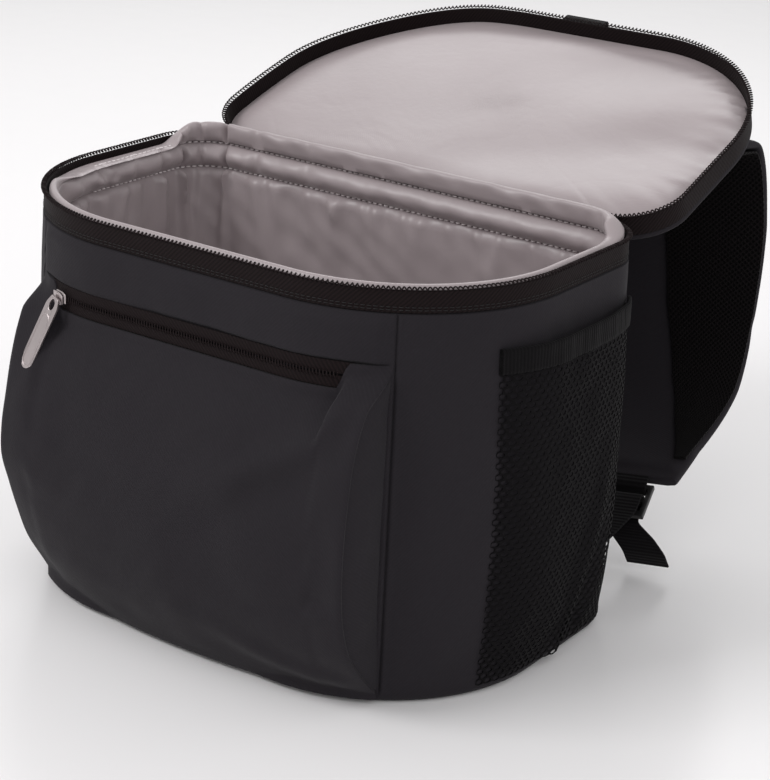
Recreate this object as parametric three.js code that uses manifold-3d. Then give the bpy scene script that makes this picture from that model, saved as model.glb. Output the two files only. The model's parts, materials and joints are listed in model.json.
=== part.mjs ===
import Module from 'manifold-3d';
import * as THREE from 'three';
import { mergeVertices } from 'three/addons/utils/BufferGeometryUtils.js';

const wasm = await Module();
wasm.setup();

// Driving dimensions of the bag, in millimetres and degrees
const RIM_WIDTH = 300;
const RIM_DEPTH = 185.4;
const RIM_HEIGHT = 216.5;
const FRONT_CORNER_RADIUS = 93.8;
const BACK_CORNER_RADIUS = 32.6;
const BODY_SWELL = 3;
const BASE_EDGE_RADIUS = 5;
const SHELL_WALL = 2.5;
const FLOOR_THICKNESS = 4;
const SEAT_GAP = 0.3;

// The silver lining
const LINER_WALL = 5;
const LINER_TOP_DROP = 1;
const LINER_FLOOR = 5;
const ROLL_RISE = 7;
const ROLL_SWELL = 8;
const UPPER_STITCH_DROP = 5;
const LOWER_STITCH_DROP = 19.5;
const GATHER_DEPTH = 4;
const GATHER_FOOT = 40;
const GATHER_FULL = 150;
const ROLL_FOOT_LEAD = 6;
const ROLL_START = 0.2;
const ROLL_FULL = 0.36;
const LEFT_ROLL_START = -0.42;
const LEFT_ROLL_FULL = -0.2;

// The zip round the rim and round the lid
const TAPE_HEIGHT = 11.5;
const TAPE_WALL = 1.5;
const COIL_HEIGHT = 1.8;
const COIL_WIDTH = 3;

// The lid, opened past upright
const LID_OPENING = 160;
const LID_PULL_IN = 5;
const LID_PANEL_THICKNESS = 3;
const LID_LINING_THICKNESS = 2.5;
const LID_LINING_PUFF = 3;
const LID_HINGE_MARGIN = 2.5;
const LID_SAG = 8;
const LID_SAG_START = 0.2;
const LID_FLAT_INSET = BACK_CORNER_RADIUS * 0.8;
const HINGE_WALL = 1.2;
const PULL_LOOP_WIDTH = 28;
const PULL_LOOP_REACH = 12;
const PULL_LOOP_WALL = 1.4;
const PULL_LOOP_TURN = PULL_LOOP_WALL * 1.4;

// The front pocket
const SEAM_INSET = 40;
const SEAM_X = RIM_WIDTH / 2 - SEAM_INSET;
const POCKET_DEPTH = 34;
const POCKET_MIDDLE_DEPTH = 22;
const POCKET_WALL = 2;
const POCKET_FOOT = 3;
const POCKET_TOP_HEIGHT = 171.3;
const POCKET_TOP_SLOPE = -0.006;
const POCKET_ROUNDNESS = 2.4;
const GUSSET_WALL = 1.6;

// The pocket's zip, slider and puller
const ZIP_LEFT_INSET = 17.5;
const ZIP_RIGHT_INSET = 18.5;
const ZIP_LEFT = ZIP_LEFT_INSET - SEAM_X;
const ZIP_RIGHT = SEAM_X - ZIP_RIGHT_INSET;
const ZIP_WINDOW = 13;
const ZIP_TAPE_WALL = 1;
const ZIP_COIL_HEIGHT = 2.6;
const ZIP_COIL_WALL = 1;
const SLIDER_LENGTH = 9;
const SLIDER_WIDTH = 7;
const SLIDER_THICKNESS = 2.2;
const SLIDER_INSET = 4;
const BAIL_WALL = 1.2;
const BAIL_RISE = 4;
const BAIL_LENGTH = 7;
const BAIL_FOOT_WALL = BAIL_WALL * 1.4;
const BAIL_HEAD_WALL = BAIL_WALL * 1.8;
const PULLER_LENGTH = 41;
const PULLER_WIDTH = 10;
const PULLER_THICKNESS = 1.4;
const PULLER_HEAD_SHARE = 0.7;
const PULLER_EYE_WIDTH = 4.2;
const PULLER_EYE_LENGTH = 6;
const PULLER_LEAN = 14;
const PULLER_LIFT = 19;

// The net pockets at the sides
const NET_FRONT_Y = -38;
const NET_BACK_Y = 76;
const NET_FOOT = 5;
const NET_WALL = 1.2;
const NET_BULGE = 7;
const BAND_TOP = 184;
const BAND_HEIGHT = 12.5;
const BAND_WALL = 1.8;
const NET_FOLD_DEPTH = 1.6;
const NET_FOLDS = 5;
const NET_FOLD_SLANT = 0.45;
const NET_FOLD_FADE = 1.6;
const NET_ROUNDNESS = 2.6;

// The back panel, straps, webbing and adjusters
const BACK_PANEL_WIDTH = 210;
const BACK_PANEL_FOOT = 26;
const BACK_PANEL_TOP = 192;
const BACK_PANEL_THICKNESS = 5;
const STRAP_SPREAD = 117;
const STRAP_REACH = 152;
const STRAP_RISE = 228;
const STRAP_WIDTH = 88;
const STRAP_THICKNESS = 9;
const AIR_MESH_WIDTH = 60;
const AIR_MESH_THICKNESS = 1.5;
const AIR_MESH_GAP = 0.6;
const WEBBING_WIDTH = 25;
const WEBBING_THICKNESS = 1.5;
const LOCK_WIDTH = 32;
const LOCK_SLOT = 6;
const LOCK_RAIL = 3;
const LOCK_START = 4;
const LOCK_THICKNESS = 3.2;
const LOCK_BAR = 4;
const WEBBING_FOOT = 22;
const TAIL_REACH = 25;
const TAIL_FLOOR = 4;

const DEGREE = Math.PI / 180;
const HINGE_Y = RIM_DEPTH / 2;
const SHELL_TOP = RIM_HEIGHT - COIL_HEIGHT - TAPE_HEIGHT;
const LINER_INSET = SHELL_WALL + SEAT_GAP;
const LID_DEPTH = RIM_DEPTH - LID_PULL_IN;
const WELD_DISTANCE = 1e-4;

// How far the body stands out past its rim, by share of the rim height
const BODY_SECTIONS = [
  { height: 0.05, swell: 0.1 },
  { height: 0.15, swell: 0.6 },
  { height: 0.38, swell: 1 },
  { height: 0.62, swell: 0.9 },
  { height: 0.82, swell: 0.45 },
  { height: 1, swell: 0 },
];

// How far the pocket stands off the seam line at its edges and off the body in its middle
const POCKET_SECTIONS = [
  { height: 0, left: 0, right: 0, middle: 0.22 },
  { height: 0.07, left: 0.22, right: 0.34, middle: 0.52 },
  { height: 0.17, left: 0.5, right: 0.7, middle: 0.82 },
  { height: 0.27, left: 0.68, right: 0.88, middle: 0.96 },
  { height: 0.37, left: 0.84, right: 0.96, middle: 1 },
  { height: 0.47, left: 0.98, right: 0.97, middle: 1 },
  { height: 0.56, left: 0.96, right: 0.95, middle: 0.97 },
  { height: 0.66, left: 0.86, right: 0.9, middle: 0.9 },
  { height: 0.77, left: 0.74, right: 0.82, middle: 0.74 },
  { height: 0.86, left: 0.6, right: 0.68, middle: 0.52 },
  { height: 0.94, left: 0.4, right: 0.42, middle: 0.28 },
  { height: 1, left: 0.1, right: 0.1, middle: 0.12 },
];

// How far the net stands off the body, by share of its height
const NET_SECTIONS = [
  { height: 0, bulge: 0.03 },
  { height: 0.06, bulge: 0.35 },
  { height: 0.16, bulge: 0.66 },
  { height: 0.3, bulge: 0.9 },
  { height: 0.48, bulge: 1 },
  { height: 0.66, bulge: 0.97 },
  { height: 0.84, bulge: 0.9 },
  { height: 1, bulge: 0.82 },
];

// Gathers of the lining near its back left corner, by share of the way along that side and corner.
// The side takes the first part of the way and the back wall the rest, each with where it starts.
const GATHER_SIDE = { start: -0.15, reach: 0.65, part: 0.6 };
const GATHER_BACK = { start: 0.05, reach: 0.25, part: 0.4 };
const GATHERS = [
  { place: 0.2, width: 0.07, depth: 0.6 },
  { place: 0.42, width: 0.06, depth: 1 },
  { place: 0.64, width: 0.05, depth: 0.8 },
  { place: 0.86, width: 0.06, depth: 0.5 },
];

// Middle line of the right strap's pad, from the back panel over the arch to its lower end,
// by share of its spread aside, its reach behind the back panel and its rise off the floor.
// Turn is how far the width way swings back and lift how far the outer edge is raised, in degrees.
const STRAP_ROUTE = [
  { spread: 0.513, reach: 0.002, rise: 0.781, width: 0.7, turn: 0, lift: 0 },
  { spread: 0.521, reach: 0.092, rise: 0.794, width: 0.7, turn: -2, lift: 0 },
  { spread: 0.564, reach: 0.263, rise: 0.864, width: 0.76, turn: -9, lift: 0 },
  { spread: 0.632, reach: 0.487, rise: 0.925, width: 0.86, turn: -14, lift: 0 },
  { spread: 0.701, reach: 0.697, rise: 0.974, width: 0.96, turn: -14, lift: 0 },
  { spread: 0.735, reach: 0.882, rise: 1, width: 1, turn: -6, lift: 3 },
  { spread: 0.752, reach: 1, rise: 0.947, width: 1, turn: 8, lift: 9 },
  { spread: 0.812, reach: 1, rise: 0.763, width: 1, turn: 14, lift: 6 },
  { spread: 0.846, reach: 0.928, rise: 0.548, width: 1, turn: 14, lift: 0 },
  { spread: 0.915, reach: 0.776, rise: 0.386, width: 0.94, turn: 10, lift: 0 },
  { spread: 0.94, reach: 0.579, rise: 0.272, width: 0.8, turn: 4, lift: 0 },
  { spread: 1, reach: 0.382, rise: 0.206, width: 0.62, turn: 0, lift: 0 },
];

// The webbing's loose tail, by share of its reach aside and back and of its drop
const WEBBING_TAIL = [
  { aside: 0.42, back: 0.04, height: 0.72 },
  { aside: 0.68, back: 0.14, height: 0.4 },
  { aside: 0.72, back: 0.34, height: 0.08 },
];

const COLOURS = {
  charcoal: { color: 0x29262a, roughness: 0.86, metalness: 0 },
  silver: { color: 0xb4a9aa, roughness: 0.42, metalness: 0.25 },
  tape: { color: 0x181011, roughness: 0.8, metalness: 0 },
  coil: { color: 0x141213, roughness: 0.45, metalness: 0 },
  net: { color: 0x121012, roughness: 0.9, metalness: 0 },
  elastic: { color: 0x100e0f, roughness: 0.85, metalness: 0 },
  airMesh: { color: 0x070405, roughness: 0.95, metalness: 0 },
  webbing: { color: 0x131113, roughness: 0.8, metalness: 0 },
  plastic: { color: 0x0e0d0e, roughness: 0.4, metalness: 0 },
  metal: { color: 0xb8adad, roughness: 0.3, metalness: 0.9 },
};

const bag = new THREE.Group();

// Closed solids from a run of rings with the same number of points

function ringSolid(rings) {
  const count = rings[0].length;
  const positions = rings.flat().flatMap((p) => [p.x, p.y, p.z]);
  const index = [];
  for (let r = 0; r + 1 < rings.length; r += 1) {
    for (let i = 0; i < count; i += 1) {
      const j = (i + 1) % count;
      const low = r * count;
      const high = low + count;
      index.push(low + i, low + j, high + j, low + i, high + j, high + i);
    }
  }
  capRing(index, 0, count, true);
  capRing(index, (rings.length - 1) * count, count, false);
  const geometry = new THREE.BufferGeometry();
  geometry.setAttribute('position', new THREE.Float32BufferAttribute(positions, 3));
  geometry.setIndex(facingOut(positions, index));
  geometry.computeVertexNormals();
  return geometry;
}

function capRing(index, base, count, first) {
  for (let i = 0; i < Math.floor((count - 1) / 2); i += 1) {
    const a = base + i;
    const b = base + i + 1;
    const c = base + count - 2 - i;
    const d = base + count - 1 - i;
    const faces = b === c ? [[a, b, d]] : [[a, b, c], [a, c, d]];
    for (const face of faces) {
      index.push(...(first ? [face[0], face[2], face[1]] : face));
    }
  }
}

function facingOut(positions, index) {
  let volume = 0;
  const at = (i) => new THREE.Vector3().fromArray(positions, i * 3);
  for (let i = 0; i < index.length; i += 3) {
    volume += at(index[i]).dot(at(index[i + 1]).cross(at(index[i + 2])));
  }
  if (volume >= 0) {
    return index;
  }
  return index.map((value, i) => (i % 3 === 1 ? index[i + 1] : i % 3 === 2 ? index[i - 1] : value));
}

function addPiece(name, geometry, look, parent = bag) {
  const mesh = new THREE.Mesh(geometry, new THREE.MeshStandardMaterial(COLOURS[look]));
  mesh.name = name;
  parent.add(mesh);
  return mesh;
}

function mirrored(geometry) {
  const copy = mergeVertices(geometry);
  copy.scale(-1, 1, 1);
  const order = Array.from(copy.index.array);
  copy.setIndex(order.map((value, i) => (i % 3 === 1 ? order[i + 1] : i % 3 === 2 ? order[i - 1] : value)));
  return copy;
}

function addPair(name, geometry, look) {
  addPiece(`${name}_right`, geometry, look);
  addPiece(`${name}_left`, mirrored(geometry), look);
}

// Value of a table's column at a share of the height

function readTable(table, column, share) {
  const last = table.length - 1;
  const clamped = Math.min(Math.max(share, table[0].height), table[last].height);
  let row = 0;
  while (row < last - 1 && table[row + 1].height < clamped) {
    row += 1;
  }
  const low = table[row];
  const high = table[row + 1];
  const way = (clamped - low.height) / (high.height - low.height);
  return low[column] + (high[column] - low[column]) * way;
}

// The bag's outline seen from above, from the back right corner round the front to the back left corner

const RIM = { width: RIM_WIDTH, depth: RIM_DEPTH };
const LID = { width: RIM_WIDTH, depth: LID_DEPTH };
const ARC_STEPS = { front: 10, back: 5 };
const STRAIGHT_STEPS = { front: 6, side: 4, back: 6 };

function outline(form, offset) {
  const frontX = form.width / 2 - FRONT_CORNER_RADIUS;
  const frontY = -form.depth / 2 + FRONT_CORNER_RADIUS;
  const backX = form.width / 2 - BACK_CORNER_RADIUS;
  const backY = form.depth / 2 - BACK_CORNER_RADIUS;
  const points = [];
  const arc = (x, y, radius, from, to, steps) => {
    for (let i = 0; i <= steps; i += 1) {
      const angle = (from + ((to - from) * i) / steps) * DEGREE;
      const nx = Math.cos(angle);
      const ny = Math.sin(angle);
      points.push({ x: x + nx * (radius + offset), y: y + ny * (radius + offset), nx, ny });
    }
  };
  const straight = (steps, next) => {
    const from = points[points.length - 1];
    for (let i = 1; i < steps; i += 1) {
      const way = i / steps;
      points.push({
        x: from.x + (next.x - from.x) * way,
        y: from.y + (next.y - from.y) * way,
        nx: from.nx,
        ny: from.ny,
      });
    }
  };
  const front = FRONT_CORNER_RADIUS;
  const back = BACK_CORNER_RADIUS;
  arc(backX, backY, back, 90, 0, ARC_STEPS.back);
  straight(STRAIGHT_STEPS.side, { x: frontX + front + offset, y: frontY });
  arc(frontX, frontY, front, 0, -90, ARC_STEPS.front);
  straight(STRAIGHT_STEPS.front, { x: -frontX, y: frontY - front - offset });
  arc(-frontX, frontY, front, -90, -180, ARC_STEPS.front);
  straight(STRAIGHT_STEPS.side, { x: -backX - back - offset, y: backY });
  arc(-backX, backY, back, 180, 90, ARC_STEPS.back);
  const corners = points.length;
  straight(STRAIGHT_STEPS.back, { x: backX, y: backY + back + offset });
  return { points, corners };
}

const RIM_POINTS = outline(RIM, 0);

function swellAt(z) {
  return BODY_SWELL * readTable(BODY_SECTIONS, 'swell', z / RIM_HEIGHT);
}

function ringAt(form, offset, z) {
  return outline(form, offset).points.map((p) => new THREE.Vector3(p.x, p.y, z));
}

// Body shell, a cup with a rounded lower edge

function bodyShell() {
  const rings = [];
  for (const angle of [0, 30, 60, 90]) {
    const inset = BASE_EDGE_RADIUS * (1 - Math.sin(angle * DEGREE));
    const z = BASE_EDGE_RADIUS * (1 - Math.cos(angle * DEGREE));
    rings.push(ringAt(RIM, swellAt(z) - inset, z));
  }
  const heights = BODY_SECTIONS.slice(1, -1).map((row) => row.height * RIM_HEIGHT);
  for (const z of [...heights, SHELL_TOP]) {
    rings.push(ringAt(RIM, swellAt(z), z));
  }
  for (const z of [SHELL_TOP, ...heights.toReversed()]) {
    rings.push(ringAt(RIM, swellAt(z) - SHELL_WALL, z));
  }
  const lowInset = SHELL_WALL + BASE_EDGE_RADIUS / 2;
  rings.push(ringAt(RIM, swellAt(BASE_EDGE_RADIUS) - SHELL_WALL, BASE_EDGE_RADIUS + FLOOR_THICKNESS));
  rings.push(ringAt(RIM, swellAt(FLOOR_THICKNESS) - lowInset, FLOOR_THICKNESS));
  addPiece('body_shell', ringSolid(rings), 'charcoal');
}

// How much the lining rises past the rim at a place of the outline: full along the back, none at the sides

function rollRise(point) {
  return THREE.MathUtils.smoothstep(point.y / RIM_DEPTH, ROLL_START, ROLL_FULL);
}

// How far the padded rolls stand out inward: the left one begins near the front corner

function rollWeight(point) {
  if (point.x > 0) {
    return rollRise(point);
  }
  return THREE.MathUtils.smoothstep(point.y / RIM_DEPTH, LEFT_ROLL_START, LEFT_ROLL_FULL);
}

function gatherAt(point) {
  if (point.x > 0) {
    return 0;
  }
  const side = (point.y / RIM_DEPTH - GATHER_SIDE.start) / GATHER_SIDE.reach;
  const onBack = point.x > BACK_CORNER_RADIUS - RIM_WIDTH / 2 && point.y > 0;
  const back = onBack ? (point.x / RIM_WIDTH + 0.5 - GATHER_BACK.start) / GATHER_BACK.reach : 0;
  const place = side * GATHER_SIDE.part + Math.max(0, back) * GATHER_BACK.part;
  return GATHERS.reduce(
    (sum, fold) => sum + fold.depth * Math.exp(-(((place - fold.place) / fold.width) ** 2)),
    0,
  );
}

// The silver lining cup: plain outside, with rolls and gathers inside

function liner() {
  const rims = RIM_POINTS.points;
  const level = (offset, z) => {
    const points = outline(RIM, offset).points;
    return points.map((p, i) => {
      const height = typeof z === 'function' ? z(rims[i]) : z;
      return new THREE.Vector3(p.x, p.y, height);
    });
  };
  const top = (p) => RIM_HEIGHT - LINER_TOP_DROP + ROLL_RISE * rollRise(p);
  const floor = FLOOR_THICKNESS + SEAT_GAP;
  const lowest = BASE_EDGE_RADIUS + FLOOR_THICKNESS + SEAT_GAP;
  const heights = BODY_SECTIONS.slice(1, -1).map((row) => row.height * RIM_HEIGHT);
  const footInset = LINER_INSET + BASE_EDGE_RADIUS / 2 + SEAT_GAP;
  const rings = [level(swellAt(floor) - footInset, floor)];
  rings.push(level(swellAt(lowest) - LINER_INSET - SEAT_GAP, lowest));
  for (const z of [...heights, SHELL_TOP]) {
    rings.push(level(swellAt(z) - LINER_INSET, z));
  }
  rings.push(level(-LINER_INSET, top));

  const inner = (z, swell) => {
    const ring = [];
    for (const point of rims) {
      const height = z(point);
      const strength = THREE.MathUtils.smoothstep(height, GATHER_FOOT, GATHER_FULL);
      const gather = GATHER_DEPTH * gatherAt(point) * strength;
      const inset = LINER_INSET + LINER_WALL + ROLL_SWELL * swell * rollWeight(point) + gather;
      const reach = swellAt(height) - inset;
      ring.push(new THREE.Vector3(point.x + point.nx * reach, point.y + point.ny * reach, height));
    }
    return ring;
  };
  const upper = RIM_HEIGHT - UPPER_STITCH_DROP;
  const lower = RIM_HEIGHT - LOWER_STITCH_DROP;
  for (const way of [0, 0.25, 0.6, 1]) {
    const swell = Math.sin(Math.PI * (0.2 + 0.8 * way));
    rings.push(inner((p) => top(p) + (upper - top(p)) * way, swell));
  }
  for (const way of [0.25, 0.6, 1]) {
    rings.push(inner(() => upper + (lower - upper) * way, Math.sin(Math.PI * way)));
  }
  for (const z of heights.toReversed()) {
    rings.push(inner(() => Math.min(z, lower - ROLL_FOOT_LEAD), 0));
  }
  rings.push(inner(() => lowest + LINER_FLOOR, 0));
  rings.push(level(swellAt(floor) - footInset - LINER_WALL, floor + LINER_FLOOR));
  addPiece('liner', ringSolid(rings), 'silver');
}

// A band that follows the outline between the two back corners

function cornerBand(form, low, high, inner, outer) {
  const inside = outline(form, inner);
  const outside = outline(form, outer);
  const rings = [];
  for (let i = 0; i < inside.corners; i += 1) {
    const a = inside.points[i];
    const b = outside.points[i];
    rings.push([
      new THREE.Vector3(a.x, a.y, low),
      new THREE.Vector3(b.x, b.y, low),
      new THREE.Vector3(b.x, b.y, high),
      new THREE.Vector3(a.x, a.y, high),
    ]);
  }
  return ringSolid(rings);
}

function rimZip() {
  const low = SHELL_TOP + SEAT_GAP;
  const high = SHELL_TOP + TAPE_HEIGHT;
  addPiece('rim_zip_tape', cornerBand(RIM, low, high, -TAPE_WALL, 0), 'tape');
  const outer = (COIL_WIDTH - TAPE_WALL) / 2;
  const coil = cornerBand(RIM, high + SEAT_GAP, RIM_HEIGHT, outer - COIL_WIDTH, outer);
  addPiece('rim_zip_coil', coil, 'coil');
}

// The main zip's slider, plain, on the tape at its back left end

function mainSlider() {
  const shape = new THREE.BoxGeometry(SLIDER_LENGTH, SLIDER_THICKNESS, SLIDER_WIDTH);
  const slider = addPiece('main_zip_slider', shape, 'metal');
  slider.position.set(
    -(RIM_WIDTH / 2 - BACK_CORNER_RADIUS) - SLIDER_LENGTH / 2,
    HINGE_Y + SEAT_GAP + SLIDER_THICKNESS / 2,
    SHELL_TOP + TAPE_HEIGHT - SLIDER_WIDTH / 2,
  );
}

// The lid, modelled closed round its hinge line and then opened

function lidFrame() {
  const group = new THREE.Group();
  group.position.set(0, HINGE_Y, RIM_HEIGHT);
  group.rotation.x = -LID_OPENING * DEGREE;
  bag.add(group);
  const centred = new THREE.Group();
  centred.position.y = -LID_DEPTH / 2 - LID_HINGE_MARGIN / 2;
  group.add(centred);
  return centred;
}

// The lid's far left corner hangs a little, which is upward as it is drawn closed

function sagged(geometry, form) {
  const places = geometry.attributes.position;
  for (let i = 0; i < places.count; i += 1) {
    const aside = THREE.MathUtils.smoothstep(-places.getX(i) / (form.width / 2), LID_SAG_START, 1);
    const away = THREE.MathUtils.smoothstep(0.5 - places.getY(i) / form.depth, LID_SAG_START, 1);
    places.setZ(i, places.getZ(i) + LID_SAG * aside * away);
  }
  return geometry;
}

function lid() {
  const frame = lidFrame();
  const form = { width: LID.width, depth: LID.depth - LID_HINGE_MARGIN };
  const tapeLow = COIL_HEIGHT;
  const tapeHigh = tapeLow + TAPE_HEIGHT;
  const panelLow = tapeHigh + SEAT_GAP;
  const edge = LID_PANEL_THICKNESS / 3;
  const insets = [LID_FLAT_INSET, 0, 0, edge, LID_FLAT_INSET];
  const levels = [0, 0, LID_PANEL_THICKNESS - edge, LID_PANEL_THICKNESS, LID_PANEL_THICKNESS];
  const panel = ringSolid(insets.map((inset, i) => ringAt(form, -inset, panelLow + levels[i])));
  addPiece('lid_panel', sagged(panel, form), 'charcoal', frame);

  const liningBack = panelLow - SEAT_GAP;
  const liningFace = liningBack - LID_LINING_THICKNESS;
  const side = -TAPE_WALL - SEAT_GAP;
  const rings = [
    ringAt(form, side - LID_FLAT_INSET, liningBack),
    ringAt(form, side, liningBack),
    ringAt(form, side, liningFace),
  ];
  for (const way of [0.25, 0.6, 1]) {
    const puff = LID_LINING_PUFF * Math.sin((Math.PI / 2) * way);
    rings.push(ringAt(form, side - way * LID_FLAT_INSET, liningFace - puff));
  }
  addPiece('lid_lining', sagged(ringSolid(rings), form), 'silver', frame);

  const tape = cornerBand(form, tapeLow, tapeHigh, -TAPE_WALL, 0);
  addPiece('lid_zip_tape', sagged(tape, form), 'tape', frame);
  const outer = (COIL_WIDTH - TAPE_WALL) / 2;
  const coil = cornerBand(form, 0, tapeLow - SEAT_GAP, outer - COIL_WIDTH, outer);
  addPiece('lid_zip_coil', sagged(coil, form), 'coil', frame);
  pullLoop(frame, form, (tapeLow + tapeHigh) / 2);
}

// A flat folded loop of webbing on the lid's far edge

function pullLoop(frame, form, middle) {
  const start = -form.depth / 2 - SEAT_GAP;
  const turn = PULL_LOOP_TURN;
  const path = [{ y: start, z: middle + turn }, { y: start - PULL_LOOP_REACH + turn, z: middle + turn }];
  for (const angle of [45, 90, 135]) {
    path.push({
      y: start - PULL_LOOP_REACH + turn - turn * Math.sin(angle * DEGREE),
      z: middle + turn * Math.cos(angle * DEGREE),
    });
  }
  path.push({ y: start - PULL_LOOP_REACH + turn, z: middle - turn }, { y: start, z: middle - turn });
  const loop = ringSolid(foldedStrip(path, PULL_LOOP_WIDTH, PULL_LOOP_WALL));
  addPiece('lid_pull_loop', sagged(loop, form), 'webbing', frame);
}

// Rings of a strip that runs along a path in the y and z plane, as wide as asked along x

function foldedStrip(path, width, wall) {
  return path.map((point, i) => {
    const before = path[Math.max(0, i - 1)];
    const after = path[Math.min(path.length - 1, i + 1)];
    const length = Math.hypot(after.y - before.y, after.z - before.z);
    const ny = -(after.z - before.z) / length;
    const nz = (after.y - before.y) / length;
    const at = (x, side) => new THREE.Vector3(x, point.y + ny * side, point.z + nz * side);
    return [
      at(-width / 2, -wall / 2),
      at(width / 2, -wall / 2),
      at(width / 2, wall / 2),
      at(-width / 2, wall / 2),
    ];
  });
}

// The cloth between the back wall and the lid: up from the wall, over, and down to the lid's panel

function hingeStrip() {
  const tilt = (180 - LID_OPENING) * DEGREE;
  const onLid = (distance, below) => ({
    y: HINGE_Y + distance * Math.cos(tilt) + below * Math.sin(tilt),
    z: RIM_HEIGHT + distance * Math.sin(tilt) - below * Math.cos(tilt),
  });
  const wallY = HINGE_Y - HINGE_WALL / 2;
  const path = [
    { y: wallY, z: SHELL_TOP + SEAT_GAP },
    { y: wallY, z: RIM_HEIGHT - HINGE_WALL },
    { y: (wallY + onLid(HINGE_WALL, 0).y) / 2, z: RIM_HEIGHT + HINGE_WALL / 2 },
    onLid(HINGE_WALL, HINGE_WALL),
    onLid(HINGE_WALL, TAPE_HEIGHT + COIL_HEIGHT),
  ];
  const width = RIM_WIDTH - 2 * BACK_CORNER_RADIUS - 2 * COIL_WIDTH;
  addPiece('hinge_strip', ringSolid(foldedStrip(path, width, HINGE_WALL)), 'tape');
}

// A place on the body's front or side: the outward way and the point that far off the cloth

function frontPlace(x, z, off) {
  const swell = swellAt(z);
  const centreX = RIM_WIDTH / 2 - FRONT_CORNER_RADIUS;
  const past = Math.abs(x) - centreX;
  if (past <= 0) {
    return new THREE.Vector3(x, -RIM_DEPTH / 2 - swell - off, z);
  }
  const radius = FRONT_CORNER_RADIUS + swell + off;
  const y = -RIM_DEPTH / 2 + FRONT_CORNER_RADIUS - Math.sqrt(radius * radius - past * past);
  return new THREE.Vector3(x, y, z);
}

function pocketTopAt(x) {
  return POCKET_TOP_HEIGHT - POCKET_TOP_SLOPE * x - ZIP_WINDOW / 2 - SEAT_GAP;
}

// How far forward the outer face of the pocket lies

function pocketFace(x, share) {
  const z = POCKET_FOOT + (pocketTopAt(x) - POCKET_FOOT) * share;
  const column = x < 0 ? 'left' : 'right';
  const edge = frontPlace(SEAM_X, z, 0).y - POCKET_DEPTH * readTable(POCKET_SECTIONS, column, share);
  const middle = frontPlace(0, z, 0).y - POCKET_MIDDLE_DEPTH * readTable(POCKET_SECTIONS, 'middle', share);
  const round = 1 - Math.abs(x / SEAM_X) ** POCKET_ROUNDNESS;
  const face = edge + (middle - edge) * round;
  const seat = frontPlace(x, z, SEAT_GAP + POCKET_WALL).y;
  return new THREE.Vector3(x, Math.min(face, seat), z);
}

function frontPocket() {
  const columns = 14;
  const rings = [];
  for (const row of POCKET_SECTIONS) {
    const outer = [];
    for (let i = 0; i <= columns; i += 1) {
      const x = SEAM_X * ((2 * i) / columns - 1);
      outer.push(pocketFace(x, row.height));
    }
    const back = outer.map((p) => new THREE.Vector3(p.x, p.y + POCKET_WALL, p.z));
    rings.push([...outer, ...back.toReversed()]);
  }
  addPiece('front_pocket_panel', ringSolid(rings), 'charcoal');
  pocketGusset('pocket_gusset_right', 1);
  pocketGusset('pocket_gusset_left', -1);
}

// The lens-shaped side between the pocket's edge and the seam

function pocketGusset(name, side) {
  const outside = side * SEAM_X;
  const inside = side * (SEAM_X - GUSSET_WALL);
  const rings = [];
  for (const row of POCKET_SECTIONS) {
    const face = pocketFace(outside, row.height);
    const front = Math.max(face.y, pocketFace(inside, row.height).y) + POCKET_WALL + SEAT_GAP;
    const back = frontPlace(inside, face.z, SEAT_GAP).y;
    if (back - front > GUSSET_WALL) {
      rings.push([
        new THREE.Vector3(inside, front, face.z),
        new THREE.Vector3(outside, front, face.z),
        new THREE.Vector3(outside, back, face.z),
        new THREE.Vector3(inside, back, face.z),
      ]);
    }
  }
  addPiece(name, ringSolid(rings), 'charcoal');
}

// The zip in the seam above the pocket, with its slider and puller

function zipHeight(x) {
  return POCKET_TOP_HEIGHT - POCKET_TOP_SLOPE * x;
}

function zipStrip(name, height, near, far, look) {
  const rings = [];
  const steps = 20;
  for (let i = 0; i <= steps; i += 1) {
    const x = ZIP_LEFT + ((ZIP_RIGHT - ZIP_LEFT) * i) / steps;
    const z = zipHeight(x);
    rings.push([
      frontPlace(x, z - height / 2, near),
      frontPlace(x, z - height / 2, far),
      frontPlace(x, z + height / 2, far),
      frontPlace(x, z + height / 2, near),
    ]);
  }
  addPiece(name, ringSolid(rings), look);
}

function pocketZip() {
  const tapeFace = SEAT_GAP + ZIP_TAPE_WALL;
  const coilFace = tapeFace + SEAT_GAP + ZIP_COIL_WALL;
  zipStrip('pocket_zip_tape', ZIP_WINDOW, SEAT_GAP, tapeFace, 'tape');
  zipStrip('pocket_zip_coil', ZIP_COIL_HEIGHT, tapeFace + SEAT_GAP, coilFace, 'coil');

  const x = ZIP_LEFT + SLIDER_INSET + SLIDER_LENGTH / 2;
  const seat = frontPlace(x, zipHeight(x), coilFace + SEAT_GAP);
  const centreX = RIM_WIDTH / 2 - FRONT_CORNER_RADIUS;
  const turn = Math.asin((Math.abs(x) - centreX) / (FRONT_CORNER_RADIUS + coilFace));
  const frame = new THREE.Group();
  frame.position.copy(seat);
  frame.rotation.z = -turn;
  bag.add(frame);
  addPiece('pocket_zip_slider', sliderSolid(), 'metal', frame);
  const hanger = new THREE.Group();
  hanger.position.y = -SLIDER_THICKNESS - SEAT_GAP - PULLER_THICKNESS * Math.SQRT1_2;
  hanger.rotation.set(-PULLER_LIFT * DEGREE, PULLER_LEAN * DEGREE, 0, 'YXZ');
  frame.add(hanger);
  addPiece('pocket_zip_puller', pullerSolid(), 'metal', hanger);
}

// Slider body and the bail over it, each drawn from the side and joined

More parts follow.
